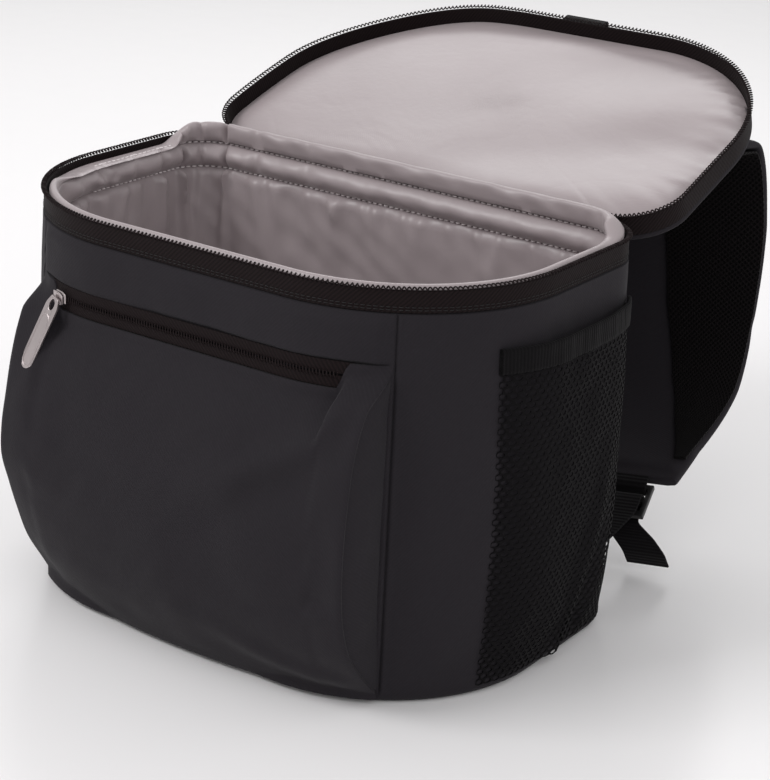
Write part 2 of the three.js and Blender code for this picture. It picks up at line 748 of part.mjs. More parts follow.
function sliderSolid() {
  const half = SLIDER_WIDTH / 2;
  const face = SLIDER_THICKNESS;
  const body = sideBox(0, face, -half, half, SLIDER_LENGTH);
  const bail = new THREE.Shape();
  bail.moveTo(face / 2, -BAIL_LENGTH / 2);
  bail.lineTo(face + BAIL_RISE, -BAIL_LENGTH / 2 + BAIL_WALL);
  bail.lineTo(face + BAIL_RISE, BAIL_LENGTH / 2 - BAIL_WALL);
  bail.lineTo(face / 2, BAIL_LENGTH / 2);
  bail.closePath();
  const space = new THREE.Path();
  space.moveTo(face, -BAIL_LENGTH / 2 + BAIL_FOOT_WALL);
  space.lineTo(face, BAIL_LENGTH / 2 - BAIL_FOOT_WALL);
  space.lineTo(face + BAIL_RISE - BAIL_WALL, BAIL_LENGTH / 2 - BAIL_HEAD_WALL);
  space.lineTo(face + BAIL_RISE - BAIL_WALL, -BAIL_LENGTH / 2 + BAIL_HEAD_WALL);
  space.closePath();
  bail.holes.push(space);
  return joined(body, sideSolid(bail, BAIL_WALL));
}

function sideBox(back, front, low, high, length) {
  const profile = new THREE.Shape();
  profile.moveTo(back, low);
  profile.lineTo(front, low);
  profile.lineTo(front, high);
  profile.lineTo(back, high);
  profile.closePath();
  return sideSolid(profile, length);
}

// A side view, drawn forward and up, made as thick as asked along x

function sideSolid(shape, length) {
  const solid = new THREE.ExtrudeGeometry(shape, { depth: length, bevelEnabled: false });
  solid.translate(0, 0, -length / 2);
  solid.applyMatrix4(new THREE.Matrix4().set(0, 0, -1, 0, -1, 0, 0, 0, 0, 1, 0, 0, 0, 0, 0, 1));
  return solid;
}

function toManifold(geometry) {
  const bare = geometry.clone();
  bare.deleteAttribute('normal');
  bare.deleteAttribute('uv');
  const merged = mergeVertices(bare, WELD_DISTANCE);
  return new wasm.Manifold(new wasm.Mesh({
    numProp: 3,
    vertProperties: new Float32Array(merged.attributes.position.array),
    triVerts: new Uint32Array(merged.index.array),
  }));
}

function joined(first, second) {
  const result = toManifold(first).add(toManifold(second)).getMesh();
  const geometry = new THREE.BufferGeometry();
  geometry.setAttribute('position', new THREE.BufferAttribute(result.vertProperties, 3));
  geometry.setIndex(new THREE.BufferAttribute(result.triVerts, 1));
  geometry.computeVertexNormals();
  return geometry;
}

// A thin plate with an eye at its upper end, hanging from the middle of its top bar

function pullerSolid() {
  const half = PULLER_WIDTH / 2;
  const bar = PULLER_THICKNESS / 2;
  const shape = new THREE.Shape();
  shape.moveTo(-half * PULLER_HEAD_SHARE, bar);
  shape.lineTo(half * PULLER_HEAD_SHARE, bar);
  shape.lineTo(half, -PULLER_EYE_LENGTH);
  shape.lineTo(half, -PULLER_LENGTH + half);
  shape.absarc(0, -PULLER_LENGTH + half, half, 0, -Math.PI, true);
  shape.lineTo(-half, -PULLER_EYE_LENGTH);
  shape.closePath();
  const eye = new THREE.Path();
  eye.moveTo(-PULLER_EYE_WIDTH / 2, -bar);
  eye.lineTo(-PULLER_EYE_WIDTH / 2, -bar - PULLER_EYE_LENGTH);
  eye.lineTo(PULLER_EYE_WIDTH / 2, -bar - PULLER_EYE_LENGTH);
  eye.lineTo(PULLER_EYE_WIDTH / 2, -bar);
  eye.closePath();
  shape.holes.push(eye);
  const plate = new THREE.ExtrudeGeometry(shape, {
    depth: PULLER_THICKNESS,
    bevelEnabled: false,
    curveSegments: 6,
  });
  plate.translate(0, 0, -PULLER_THICKNESS / 2);
  plate.rotateX(Math.PI / 2);
  return plate;
}

// A place on the body's right side or back corner, at a distance off the cloth

function sidePlace(y, z, off) {
  const reach = swellAt(z) + off;
  const frontY = -RIM_DEPTH / 2 + FRONT_CORNER_RADIUS;
  const backY = RIM_DEPTH / 2 - BACK_CORNER_RADIUS;
  let x = RIM_WIDTH / 2 + reach;
  if (y < frontY) {
    const radius = FRONT_CORNER_RADIUS + reach;
    x = RIM_WIDTH / 2 - FRONT_CORNER_RADIUS + Math.sqrt(radius * radius - (y - frontY) ** 2);
  } else if (y > backY) {
    const radius = BACK_CORNER_RADIUS + reach;
    x = RIM_WIDTH / 2 - BACK_CORNER_RADIUS + Math.sqrt(radius * radius - (y - backY) ** 2);
  }
  return new THREE.Vector3(x, y, z);
}

// A place on the body's back, at a distance off the cloth

function backPlace(x, z, off) {
  const reach = swellAt(z) + off;
  const past = Math.abs(x) - (RIM_WIDTH / 2 - BACK_CORNER_RADIUS);
  const radius = BACK_CORNER_RADIUS + reach;
  const y = past <= 0
    ? RIM_DEPTH / 2 + reach
    : RIM_DEPTH / 2 - BACK_CORNER_RADIUS + Math.sqrt(radius * radius - past * past);
  return new THREE.Vector3(x, y, z);
}

// The net pockets, bulging off the sides, and the elastic bands along their tops

function netBulge(y, z) {
  const along = (y - NET_FRONT_Y) / (NET_BACK_Y - NET_FRONT_Y);
  const share = (z - NET_FOOT) / (BAND_TOP - NET_FOOT);
  const across = 1 - Math.abs(2 * along - 1) ** NET_ROUNDNESS;
  const fade = Math.max(0, 1 - share * NET_FOLD_FADE);
  const sag = Math.sin(Math.PI * NET_FOLDS * (along + NET_FOLD_SLANT * share)) * across * fade;
  return NET_BULGE * across * readTable(NET_SECTIONS, 'bulge', share) + NET_FOLD_DEPTH * sag * along;
}

function sideSheet(heights, wall) {
  const columns = 12;
  return heights.map((z) => {
    const inner = [];
    const outer = [];
    for (let i = 0; i <= columns; i += 1) {
      const y = NET_FRONT_Y + ((NET_BACK_Y - NET_FRONT_Y) * i) / columns;
      const off = SEAT_GAP + Math.max(0, netBulge(y, z));
      inner.push(sidePlace(y, z, off));
      outer.push(sidePlace(y, z, off + wall));
    }
    return [...inner, ...outer.toReversed()];
  });
}

function netPockets() {
  const bandFoot = BAND_TOP - BAND_HEIGHT;
  const netTop = bandFoot - SEAT_GAP;
  const heights = NET_SECTIONS.map((row) => NET_FOOT + (netTop - NET_FOOT) * row.height);
  addPair('net_pocket', ringSolid(sideSheet(heights, NET_WALL)), 'net');
  const bandRings = sideSheet([bandFoot, bandFoot + BAND_HEIGHT / 2, BAND_TOP], BAND_WALL);
  addPair('net_band', ringSolid(bandRings), 'elastic');
}

// The padded panel that the straps are sewn to

function backFace(z) {
  return backPlace(0, z, SEAT_GAP + BACK_PANEL_THICKNESS).y;
}

function backPanel() {
  const half = BACK_PANEL_WIDTH / 2;
  const edge = BACK_PANEL_THICKNESS / 2;
  const rings = [];
  for (const share of [0, 0.02, 0.25, 0.5, 0.75, 0.98, 1]) {
    const z = BACK_PANEL_FOOT + (BACK_PANEL_TOP - BACK_PANEL_FOOT) * share;
    const inset = share === 0 || share === 1 ? edge : 0;
    const back = backPlace(0, z, SEAT_GAP).y;
    const face = backFace(z) - inset;
    rings.push([
      new THREE.Vector3(-half + inset, back, z),
      new THREE.Vector3(half - inset, back, z),
      new THREE.Vector3(half - inset, back + edge, z),
      new THREE.Vector3(half - inset - edge, face, z),
      new THREE.Vector3(-half + inset + edge, face, z),
      new THREE.Vector3(-half + inset, back + edge, z),
    ]);
  }
  addPiece('back_panel', ringSolid(rings), 'charcoal');
}

// Places along the strap with its forward way, its width way and its outward way

function strapPlaces() {
  const base = backFace(STRAP_ROUTE[0].rise * STRAP_RISE);
  const route = STRAP_ROUTE.map((p) => (
    new THREE.Vector3(p.spread * STRAP_SPREAD, base + p.reach * STRAP_REACH, p.rise * STRAP_RISE)
  ));
  const curve = new THREE.CatmullRomCurve3(route, false, 'centripetal');
  const steps = 30;
  const places = [];
  for (let i = 0; i <= steps; i += 1) {
    const way = i / steps;
    const row = way * (STRAP_ROUTE.length - 1);
    const low = STRAP_ROUTE[Math.floor(row)];
    const high = STRAP_ROUTE[Math.ceil(row)];
    const blend = row - Math.floor(row);
    const turn = (low.turn + (high.turn - low.turn) * blend) * DEGREE;
    const lift = (low.lift + (high.lift - low.lift) * blend) * DEGREE;
    const forward = curve.getTangent(way).normalize();
    const flat = Math.cos(lift);
    const wide = new THREE.Vector3(Math.cos(turn) * flat, Math.sin(turn) * flat, Math.sin(lift));
    wide.addScaledVector(forward, -wide.dot(forward)).normalize();
    places.push({
      centre: curve.getPoint(way),
      forward,
      wide,
      outward: new THREE.Vector3().crossVectors(wide, forward),
      width: STRAP_WIDTH * (low.width + (high.width - low.width) * blend),
    });
  }
  return places;
}

function strapPoint(place, across, out) {
  const point = place.centre.clone();
  point.addScaledVector(place.wide, across).addScaledVector(place.outward, out);
  point.y = Math.max(point.y, backFace(place.centre.z) + SEAT_GAP);
  return point;
}

function strapPad(places) {
  const half = STRAP_THICKNESS / 2;
  const edge = STRAP_THICKNESS / 3;
  const rings = places.map((place) => {
    const side = place.width / 2;
    return [
      strapPoint(place, -side + edge, -half),
      strapPoint(place, side - edge, -half),
      strapPoint(place, side, -half + edge),
      strapPoint(place, side, half - edge),
      strapPoint(place, side - edge, half),
      strapPoint(place, -side + edge, half),
      strapPoint(place, -side, half - edge),
      strapPoint(place, -side, -half + edge),
    ];
  });
  addPair('strap_pad', ringSolid(rings), 'charcoal');
}

// The air mesh lies on the pad's inner face, along its outer edge

function strapAirMesh(places) {
  const edge = STRAP_THICKNESS / 3;
  const near = -STRAP_THICKNESS / 2 - AIR_MESH_GAP;
  const far = near - AIR_MESH_THICKNESS;
  const rings = places.slice(3, -1).map((place) => {
    const outer = place.width / 2 - edge;
    const inner = Math.max(outer - AIR_MESH_WIDTH, -outer);
    return [
      strapPoint(place, inner, near),
      strapPoint(place, outer, near),
      strapPoint(place, outer, far),
      strapPoint(place, inner, far),
    ];
  });
  addPair('strap_air_mesh', ringSolid(rings), 'airMesh');
}

// Rings of a strip of webbing along a path, as wide as the webbing

function webbingRings(path, wide) {
  const half = WEBBING_WIDTH / 2;
  const wall = WEBBING_THICKNESS / 2;
  return path.map((point, i) => {
    const before = path[Math.max(0, i - 1)];
    const after = path[Math.min(path.length - 1, i + 1)];
    const normal = new THREE.Vector3().subVectors(after, before).cross(wide).normalize();
    const at = (across, out) => point.clone().addScaledVector(wide, across).addScaledVector(normal, out);
    return [at(-half, -wall), at(half, -wall), at(half, wall), at(-half, wall)];
  });
}

// The adjuster: a flat frame of three bars with two slots

function lockSolid(end) {
  const half = LOCK_WIDTH / 2;
  const slot = half - LOCK_RAIL;
  const shape = new THREE.Shape();
  const far = LOCK_START + 3 * LOCK_BAR + 2 * LOCK_SLOT;
  shape.moveTo(-half, LOCK_START);
  shape.lineTo(half, LOCK_START);
  shape.lineTo(half, far);
  shape.lineTo(-half, far);
  shape.closePath();
  for (const start of [LOCK_START + LOCK_BAR, LOCK_START + 2 * LOCK_BAR + LOCK_SLOT]) {
    const hole = new THREE.Path();
    hole.moveTo(-slot, start);
    hole.lineTo(-slot, start + LOCK_SLOT);
    hole.lineTo(slot, start + LOCK_SLOT);
    hole.lineTo(slot, start);
    hole.closePath();
    shape.holes.push(hole);
  }
  const lock = new THREE.ExtrudeGeometry(shape, { depth: LOCK_THICKNESS, bevelEnabled: false });
  lock.translate(0, 0, -LOCK_THICKNESS / 2);
  const basis = new THREE.Matrix4().makeBasis(end.wide, end.forward, end.outward);
  return lock.applyMatrix4(basis.setPosition(end.centre));
}

// The tab, adjuster and webbing at the pad's lower end, laid out ahead of it and outward

function strapEnd(places) {
  const end = places[places.length - 1];
  const place = (ahead, out) => {
    const point = end.centre.clone().addScaledVector(end.forward, ahead);
    return point.addScaledVector(end.outward, out);
  };
  const bendStep = 45;
  const barCorner = Math.hypot(LOCK_BAR, LOCK_THICKNESS) / 2;
  const turn = barCorner / Math.cos((bendStep / 2) * DEGREE) + SEAT_GAP + WEBBING_THICKNESS / 2;
  const round = (middle, from, to) => {
    const bend = [];
    for (let angle = from; Math.abs(angle - to) > 1; angle += Math.sign(to - from) * bendStep) {
      bend.push(place(middle + turn * Math.cos(angle * DEGREE), turn * Math.sin(angle * DEGREE)));
    }
    bend.push(place(middle, turn * Math.sin(to * DEGREE)));
    return bend;
  };
  const firstBar = LOCK_START + LOCK_BAR / 2;
  const middleBar = firstBar + LOCK_BAR + LOCK_SLOT;
  const lockEnd = middleBar + LOCK_BAR * 1.5 + LOCK_SLOT;

  const tab = [place(SEAT_GAP, turn), ...round(firstBar, 90, -90), place(SEAT_GAP, -turn)];
  addPair('strap_tab', ringSolid(webbingRings(tab, end.wide)), 'webbing');
  addPair('ladder_lock', lockSolid(end), 'plastic');

  const anchor = backPlace(end.centre.x, WEBBING_FOOT, SEAT_GAP + WEBBING_THICKNESS / 2);
  const hanging = place(lockEnd, turn);
  const tail = WEBBING_TAIL.map((p) => new THREE.Vector3(
    hanging.x + TAIL_REACH * p.aside,
    hanging.y + TAIL_REACH * p.back,
    TAIL_FLOOR + (hanging.z - TAIL_FLOOR) * p.height,
  ));
  const held = [anchor, place(lockEnd, -turn), ...round(middleBar, -90, -270), hanging];
  const rings = webbingRings([...held, ...tail], end.wide);
  const seatY = Math.max(...rings[0].map((p) => backPlace(p.x, p.z, SEAT_GAP).y));
  rings[0] = rings[0].map((p) => new THREE.Vector3(p.x, seatY, p.z));
  addPair('strap_webbing', ringSolid(rings), 'webbing');
}

function straps() {
  const places = strapPlaces();
  strapPad(places);
  strapAirMesh(places);
  strapEnd(places);
}

bodyShell();
liner();
rimZip();
mainSlider();
hingeStrip();
lid();
frontPocket();
pocketZip();
netPockets();
backPanel();
straps();

export default bag;
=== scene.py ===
import json
import math

import bpy
import numpy as np
from bpy.props import FloatProperty, FloatVectorProperty, PointerProperty
from bpy.types import Operator, Panel, PropertyGroup
from mathutils import Matrix, Vector

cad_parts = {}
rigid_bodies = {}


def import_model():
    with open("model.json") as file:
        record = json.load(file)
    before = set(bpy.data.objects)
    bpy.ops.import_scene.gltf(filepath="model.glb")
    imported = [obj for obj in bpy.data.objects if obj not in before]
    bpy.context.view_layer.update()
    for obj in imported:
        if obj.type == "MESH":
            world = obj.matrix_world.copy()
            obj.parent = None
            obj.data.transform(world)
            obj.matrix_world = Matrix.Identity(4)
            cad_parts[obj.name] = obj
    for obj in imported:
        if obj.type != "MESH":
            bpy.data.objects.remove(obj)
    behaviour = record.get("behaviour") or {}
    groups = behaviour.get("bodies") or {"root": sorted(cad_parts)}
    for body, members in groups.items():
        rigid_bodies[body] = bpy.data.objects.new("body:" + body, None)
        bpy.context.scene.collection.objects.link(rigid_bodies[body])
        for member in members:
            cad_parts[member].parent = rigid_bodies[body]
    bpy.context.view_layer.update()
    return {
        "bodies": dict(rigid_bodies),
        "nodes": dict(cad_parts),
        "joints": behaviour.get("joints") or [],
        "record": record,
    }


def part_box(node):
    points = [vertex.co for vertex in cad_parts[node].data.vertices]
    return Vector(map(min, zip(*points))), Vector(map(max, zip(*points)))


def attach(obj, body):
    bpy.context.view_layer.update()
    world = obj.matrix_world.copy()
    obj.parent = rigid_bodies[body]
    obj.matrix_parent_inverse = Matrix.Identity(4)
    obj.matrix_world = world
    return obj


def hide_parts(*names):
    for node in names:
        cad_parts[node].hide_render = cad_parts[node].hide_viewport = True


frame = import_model()

bl_info = {
    "name": "Cooler Backpack",
    "version": (1, 0, 0),
    "blender": (4, 5, 0),
    "location": "View3D > Sidebar > Cooler",
    "description": "Builds the cloth, lining, nets, zips and straps of a cooler backpack round its frame",
    "category": "Object",
}

MM = 0.001
BAG = "bag"
PULLER = "puller"
SIDES = {"right": 1, "left": -1}

# Sizes that the frame gives
TAPE_LOW, TAPE_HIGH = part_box("rim_zip_tape")
RIM_WIDTH = TAPE_HIGH.x - TAPE_LOW.x
RIM_DEPTH = TAPE_HIGH.y - TAPE_LOW.y
RIM_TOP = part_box("rim_zip_coil")[1].z
SHELL_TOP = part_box("body_shell")[1].z
TAPE_HEIGHT = TAPE_HIGH.z - SHELL_TOP
COIL_HEIGHT = RIM_TOP - TAPE_HIGH.z
BACK_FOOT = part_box("back_panel")[0].z
BACK_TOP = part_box("back_panel")[1].z
BACK_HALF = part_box("back_panel")[1].x
SEAM_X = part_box("front_pocket_panel")[1].x
ZIP_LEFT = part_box("pocket_zip_tape")[0].x
ZIP_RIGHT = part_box("pocket_zip_tape")[1].x
ZIP_LOW, ZIP_HIGH = (corner.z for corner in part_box("pocket_zip_tape"))
ZIP_WINDOW = 13 * MM
ZIP_SLOPE = -(ZIP_HIGH - ZIP_LOW - ZIP_WINDOW) / (ZIP_RIGHT - ZIP_LEFT)
ZIP_MIDDLE = (ZIP_LOW + ZIP_HIGH) / 2 + ZIP_SLOPE * (ZIP_LEFT + ZIP_RIGHT) / 2
BAND_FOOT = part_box("net_band_right")[0].z
BAND_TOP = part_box("net_band_right")[1].z
NET_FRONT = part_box("net_band_right")[0].y
NET_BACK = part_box("net_band_right")[1].y
NET_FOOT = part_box("net_pocket_right")[0].z

# Small clearances and walls, as the frame's pieces have them
GAP = 0.3 * MM
TAPE_WALL = 1.5 * MM
LINER_INSET = 2.8 * MM
LID_PULL_IN = 5 * MM
LID_MARGIN = 2.5 * MM
LID_PANEL_WALL = 3 * MM
LID_LINING_WALL = 2.5 * MM
POCKET_WALL = 2 * MM
POCKET_FOOT = 3 * MM
GUSSET_WALL = 1.6 * MM
ZIP_TAPE_WALL = 1 * MM
ZIP_COIL_WALL = 1 * MM
SLIDER_INSET = 4 * MM
HINGE_WALL = 1.2 * MM
LINING_FOOT = 16 * MM
LOOP_WIDTH = 28 * MM
LOOP_REACH = 12 * MM
LOOP_WALL = 1.4 * MM
BACK_WALL = 5 * MM
NET_STRETCH = 1.4
CHANNEL_X = 0.33 * BACK_HALF
LID_LOW = COIL_HEIGHT + TAPE_HEIGHT + GAP

# Close stations beside a sewn seam, and the stretch that they take up
SEAM_STATIONS = np.array((-2.4, -1.6, -1.1, -0.7, -0.35, 0, 0.35, 0.7, 1.1, 1.6, 2.4)) * MM
SEAM_CLEAR = 2.8 * MM

# Cloth under pressure, and how far it may swell the pads
PAD_CAP = 1.9 * MM
PAD_PRESSURE = 4
PAD_QUALITY = 4
SWELL_FRAMES = 20

# Threads of the lining's and the tape's stitches, and the length of a tape stitch
LINING_THREAD = 0.42 * MM
TAPE_THREAD = 0.2 * MM
TAPE_STITCH = 2.2 * MM

# The zips' coils: their wire, how far the loops reach aside, and points on one loop
COIL_WIRE = 0.42 * MM
COIL_REACH = 1.1 * MM
COIL_SIDES = 5
COIL_POINTS = 12
SMALL_COIL_WIRE = 0.3 * MM
SMALL_COIL_RISE = 1.25 * MM
SMALL_COIL_REACH = 0.5 * MM

# How far the body stands out past its rim, by share of the rim height
BODY_SECTIONS = [
    {"height": 0, "swell": 0.1},
    {"height": 0.05, "swell": 0.1},
    {"height": 0.15, "swell": 0.6},
    {"height": 0.38, "swell": 1},
    {"height": 0.62, "swell": 0.9},
    {"height": 0.82, "swell": 0.45},
    {"height": 1, "swell": 0},
]

# How far the pocket stands off the seam line at its edges and off the body in its middle
POCKET_SECTIONS = [
    {"height": 0, "left": 0, "right": 0, "middle": 0.22},
    {"height": 0.07, "left": 0.22, "right": 0.34, "middle": 0.52},
    {"height": 0.17, "left": 0.5, "right": 0.7, "middle": 0.82},
    {"height": 0.27, "left": 0.68, "right": 0.88, "middle": 0.96},
    {"height": 0.37, "left": 0.84, "right": 0.96, "middle": 1},
    {"height": 0.47, "left": 0.98, "right": 0.97, "middle": 1},
    {"height": 0.56, "left": 0.96, "right": 0.95, "middle": 0.97},
    {"height": 0.66, "left": 0.86, "right": 0.9, "middle": 0.9},
    {"height": 0.77, "left": 0.74, "right": 0.82, "middle": 0.74},
    {"height": 0.86, "left": 0.6, "right": 0.68, "middle": 0.52},
    {"height": 0.94, "left": 0.4, "right": 0.42, "middle": 0.28},
    {"height": 1, "left": 0.1, "right": 0.1, "middle": 0.12},
]

# How far the net stands off the body, by share of its height
NET_SECTIONS = [
    {"height": 0, "bulge": 0.03},
    {"height": 0.06, "bulge": 0.35},
    {"height": 0.16, "bulge": 0.66},
    {"height": 0.3, "bulge": 0.9},
    {"height": 0.48, "bulge": 1},
    {"height": 0.66, "bulge": 0.97},
    {"height": 0.84, "bulge": 0.9},
    {"height": 1, "bulge": 0.82},
]

# Middle line of the right strap's pad, from the back panel over the arch to its lower end
STRAP_ROUTE = [
    {"x": 60, "out": 0.3, "z": 178, "width": 0.7, "turn": 0, "lift": 0, "mesh": -0.3},
    {"x": 61, "out": 14, "z": 181, "width": 0.7, "turn": -2, "lift": 0, "mesh": -0.3},
    {"x": 66, "out": 40, "z": 197, "width": 0.76, "turn": -9, "lift": 0, "mesh": -0.28},
    {"x": 74, "out": 74, "z": 211, "width": 0.86, "turn": -14, "lift": 0, "mesh": -0.26},
    {"x": 82, "out": 106, "z": 222, "width": 0.96, "turn": -14, "lift": 0, "mesh": -0.2},
    {"x": 86, "out": 134, "z": 228, "width": 1, "turn": -6, "lift": 3, "mesh": -0.14},
    {"x": 88, "out": 152, "z": 216, "width": 1, "turn": 8, "lift": 9, "mesh": -0.2},
    {"x": 95, "out": 152, "z": 174, "width": 1, "turn": 14, "lift": 6, "mesh": -0.18},
    {"x": 99, "out": 141, "z": 125, "width": 1, "turn": 14, "lift": 0, "mesh": -0.09},
    {"x": 107, "out": 118, "z": 88, "width": 0.94, "turn": 10, "lift": 0, "mesh": 0.03},
    {"x": 110, "out": 88, "z": 62, "width": 0.8, "turn": 4, "lift": 0, "mesh": 0.27},
    {"x": 117, "out": 58, "z": 47, "width": 0.62, "turn": 0, "lift": 0, "mesh": 0.45},
]

# Rings along a strap, and those between which the open knit lies on it
STRAP_STEPS = 150
MESH_START = 15
MESH_END = 144
PAD_DRAWN = 0.62

# The webbing's loose tail, by share of its reach aside and back and of its drop
WEBBING_TAIL = [
    {"aside": 0.42, "back": 0.04, "height": 0.72},
    {"aside": 0.68, "back": 0.14, "height": 0.4},
    {"aside": 0.72, "back": 0.34, "height": 0.08},
]

# Deep gathers of the lining round its back left corner, by share of the way along that side
GATHERS = [
    {"place": 0.16, "width": 5, "depth": 0.9, "slant": 0.05},
    {"place": 0.3, "width": 4, "depth": 1.3, "slant": -0.12},
    {"place": 0.4, "width": 4, "depth": 3.4, "slant": 0.08},
    {"place": 0.49, "width": 3, "depth": 5.5, "slant": 0.16},
    {"place": 0.57, "width": 4, "depth": 2.2, "slant": -0.1},
    {"place": 0.67, "width": 3, "depth": 4.4, "slant": -0.06},
    {"place": 0.78, "width": 5, "depth": 2.4, "slant": 0.1},
    {"place": 0.95, "width": 6, "depth": 1.2, "slant": 0.0},
]

# Small folds scattered along the lining: how far apart, how deep and how long, each from its own random seed
SCATTERED_FOLDS = {
    "upper roll": {"seed": 31, "spacing": 11, "depth": 0.9, "reach": 5},
    "lower roll": {"seed": 33, "spacing": 8, "depth": 1.5, "reach": 4},
    "wall": {"seed": 35, "spacing": 13, "depth": 3.4, "reach": 34},
    "lid": {"seed": 51, "spacing": 9, "depth": 1.9, "reach": 20},
}

# Drapes over the pocket's front: each runs at its slope through a place, and fades in along x
POCKET_DRAPES = [
    {"depth": 2.9, "slope": 0.62, "x": 62, "z": 128, "width": 9, "from": 0, "to": 60},
    {"depth": -2.2, "slope": 0.62, "x": 62, "z": 108, "width": 12, "from": 0, "to": 60},
    {"depth": 3.2, "slope": -0.25, "x": 80, "z": 16, "width": 7, "from": 20, "to": 70},
    {"depth": -1.9, "slope": 0.2, "x": 0, "z": 40, "width": 6, "from": 40, "to": 100},
]

# Slanted folds in the net's foot, by share of its width and height
NET_FOLDS = [
    {"depth": 2.4, "lean": 0.5, "place": 0.5, "width": 0.07},
    {"depth": 1.8, "lean": 0.6, "place": 0.72, "width": 0.05},
    {"depth": -2.2, "lean": 0.55, "place": 0.61, "width": 0.06},
]

# How far in from the lid's edge its rings lie
LID_LEVELS = np.concatenate((np.linspace(0, 0.12, 9), np.linspace(0.15, 0.98, 30)))

# The pocket slider and its puller, in the frame's own sizes
SLIDER_LENGTH = 9 * MM
SLIDER_WIDTH = 7 * MM
SLIDER_THICKNESS = 2.2 * MM
BAIL_WALL = 1.2 * MM
BAIL_RADIUS = 3.1 * MM
PULLER_LENGTH = 41 * MM
PULLER_WIDTH = 10 * MM
PULLER_THICKNESS = 1.4 * MM
EYE_WIDTH = 4.2 * MM
EYE_LENGTH = 6 * MM
PULLER_TAPER = 0.28
PULLER_SHOULDER = EYE_LENGTH * 0.99
BEAD_INSET = 1.5 * MM
BEAD_WIRE = 0.32 * MM
PULLER_LEAN = math.radians(14)
PULLER_LIFT = math.radians(19)

# The adjusters and the webbing at the pads' lower ends
LOCK_WIDTH = 32 * MM
LOCK_START = 4 * MM
LOCK_BAR = 4 * MM
LOCK_SLOT = 6 * MM
LOCK_RAIL = 3 * MM
LOCK_THICKNESS = 3.2 * MM
WEBBING_FOOT = 22 * MM
TAIL_REACH = 25 * MM
TAIL_FLOOR = 4 * MM

# The camera at the photograph's angle
CAMERA_PLACE = (0.63028, -0.84617, 0.52062)
CAMERA_RIGHT = (0.81526, 0.57725, 0.04615)
CAMERA_UP = (-0.24158, 0.26659, 0.93304)
CAMERA_BACK = (0.52630, -0.77182, 0.35679)
CAMERA_LENS = 98.6
CAMERA_SENSOR = 36

# The studio's lamps
LAMPS = [
    {"name": "Key", "place": (-0.9, -1.2, 1.5), "target": (0, 0, 0.12), "size": 0.8, "power": 16},
    {"name": "Fill", "place": (1.6, -0.6, 1.0), "target": (0, 0, 0.12), "size": 1.2, "power": 5},
    {"name": "Back", "place": (-0.6, 1.1, 1.3), "target": (0, 0.05, 0.15), "size": 0.9, "power": 6},
]
FLOOR_SIZE = 12
WORLD_LIGHT = 0.74
WORLD_SEEN = 1.02


def length(name, description, millimetres):
    """A length of the bag that a user can set."""
    return FloatProperty(
        name=name, description=description, default=millimetres * MM, subtype="DISTANCE", unit="LENGTH", min=0
    )


def linear(red, green, blue):
    """A screen colour of 0 to 255 as the scene's linear colour."""
    shares = [value / 255 for value in (red, green, blue)]
    return tuple(s / 12.92 if s <= 0.04045 else ((s + 0.055) / 1.055) ** 2.4 for s in shares)


def paint(name, description, red, green, blue):
    """A colour of the bag that a user can set."""
    colour = linear(red, green, blue)
    return FloatVectorProperty(
        name=name, description=description, default=colour, subtype="COLOR", size=3, min=0, max=1
    )


class CoolerSizes(PropertyGroup):
    """Sizes of the bag's soft forms."""

    front_corner: length("Front corner", "Radius of the round front corners seen from above", 93.8)
    back_corner: length("Back corner", "Radius of the tight back corners seen from above", 32.6)
    body_swell: length("Body swell", "How far the body stands out past its rim", 3)
    base_edge: length("Base edge", "Radius of the body's lower edge", 5)
    shell_wall: length("Shell wall", "Thickness of the foam-backed cloth", 2.5)
    liner_wall: length("Lining wall", "Thickness of the insulated lining", 5)
    roll_rise: length("Roll rise", "How far the back roll stands above the zip", 7)
    roll_swell: length("Roll swell", "How far the padded rolls stand into the bag", 8)
    upper_stitch: length("Upper stitch drop", "Depth of the first stitch line below the rim", 5)
    lower_stitch: length("Lower stitch drop", "Depth of the second stitch line below the rim", 19.5)
    tooth_pitch: length("Tooth pitch", "Distance from one loop of the main zip to the next", 2.4)
    small_tooth_pitch: length("Small tooth pitch", "Distance from one pocket zip loop to the next", 1.7)
    lid_sag: length("Lid sag", "How far the lid's far left corner hangs", 8)
    lining_puff: length("Lining puff", "How far the lid's lining stands out in its middle", 3)
    pocket_depth: length("Pocket depth", "How far the pocket's sides stand off the seam", 34)
    pocket_middle: length("Pocket middle", "How far the pocket's middle stands off the body", 22)
    net_pitch: length("Net pitch", "Distance from one hole of the net to the next", 3.4)
    net_hole: length("Net hole", "Width of a hole in the net", 2.6)
    net_strand: length("Net strand", "Thickness of the net", 0.5)
    net_bulge: length("Net bulge", "How far the net pockets stand off the sides", 7)
    strap_width: length("Strap width", "Width of the shoulder pads", 88)
    strap_thickness: length("Strap thickness", "Thickness of the shoulder pads", 9)
    webbing_width: length("Webbing width", "Width of the straps' webbing", 25)
    webbing_wall: length("Webbing thickness", "Thickness of the straps' webbing", 1.5)
    stitch_length: length("Stitch length", "Length of one visible stitch", 2.7)
    lid_opening: FloatProperty(
        name="Lid opening",
        description="Angle from the closed lid to the open one",
        default=math.radians(160),
        subtype="ANGLE",
        unit="ROTATION",
    )


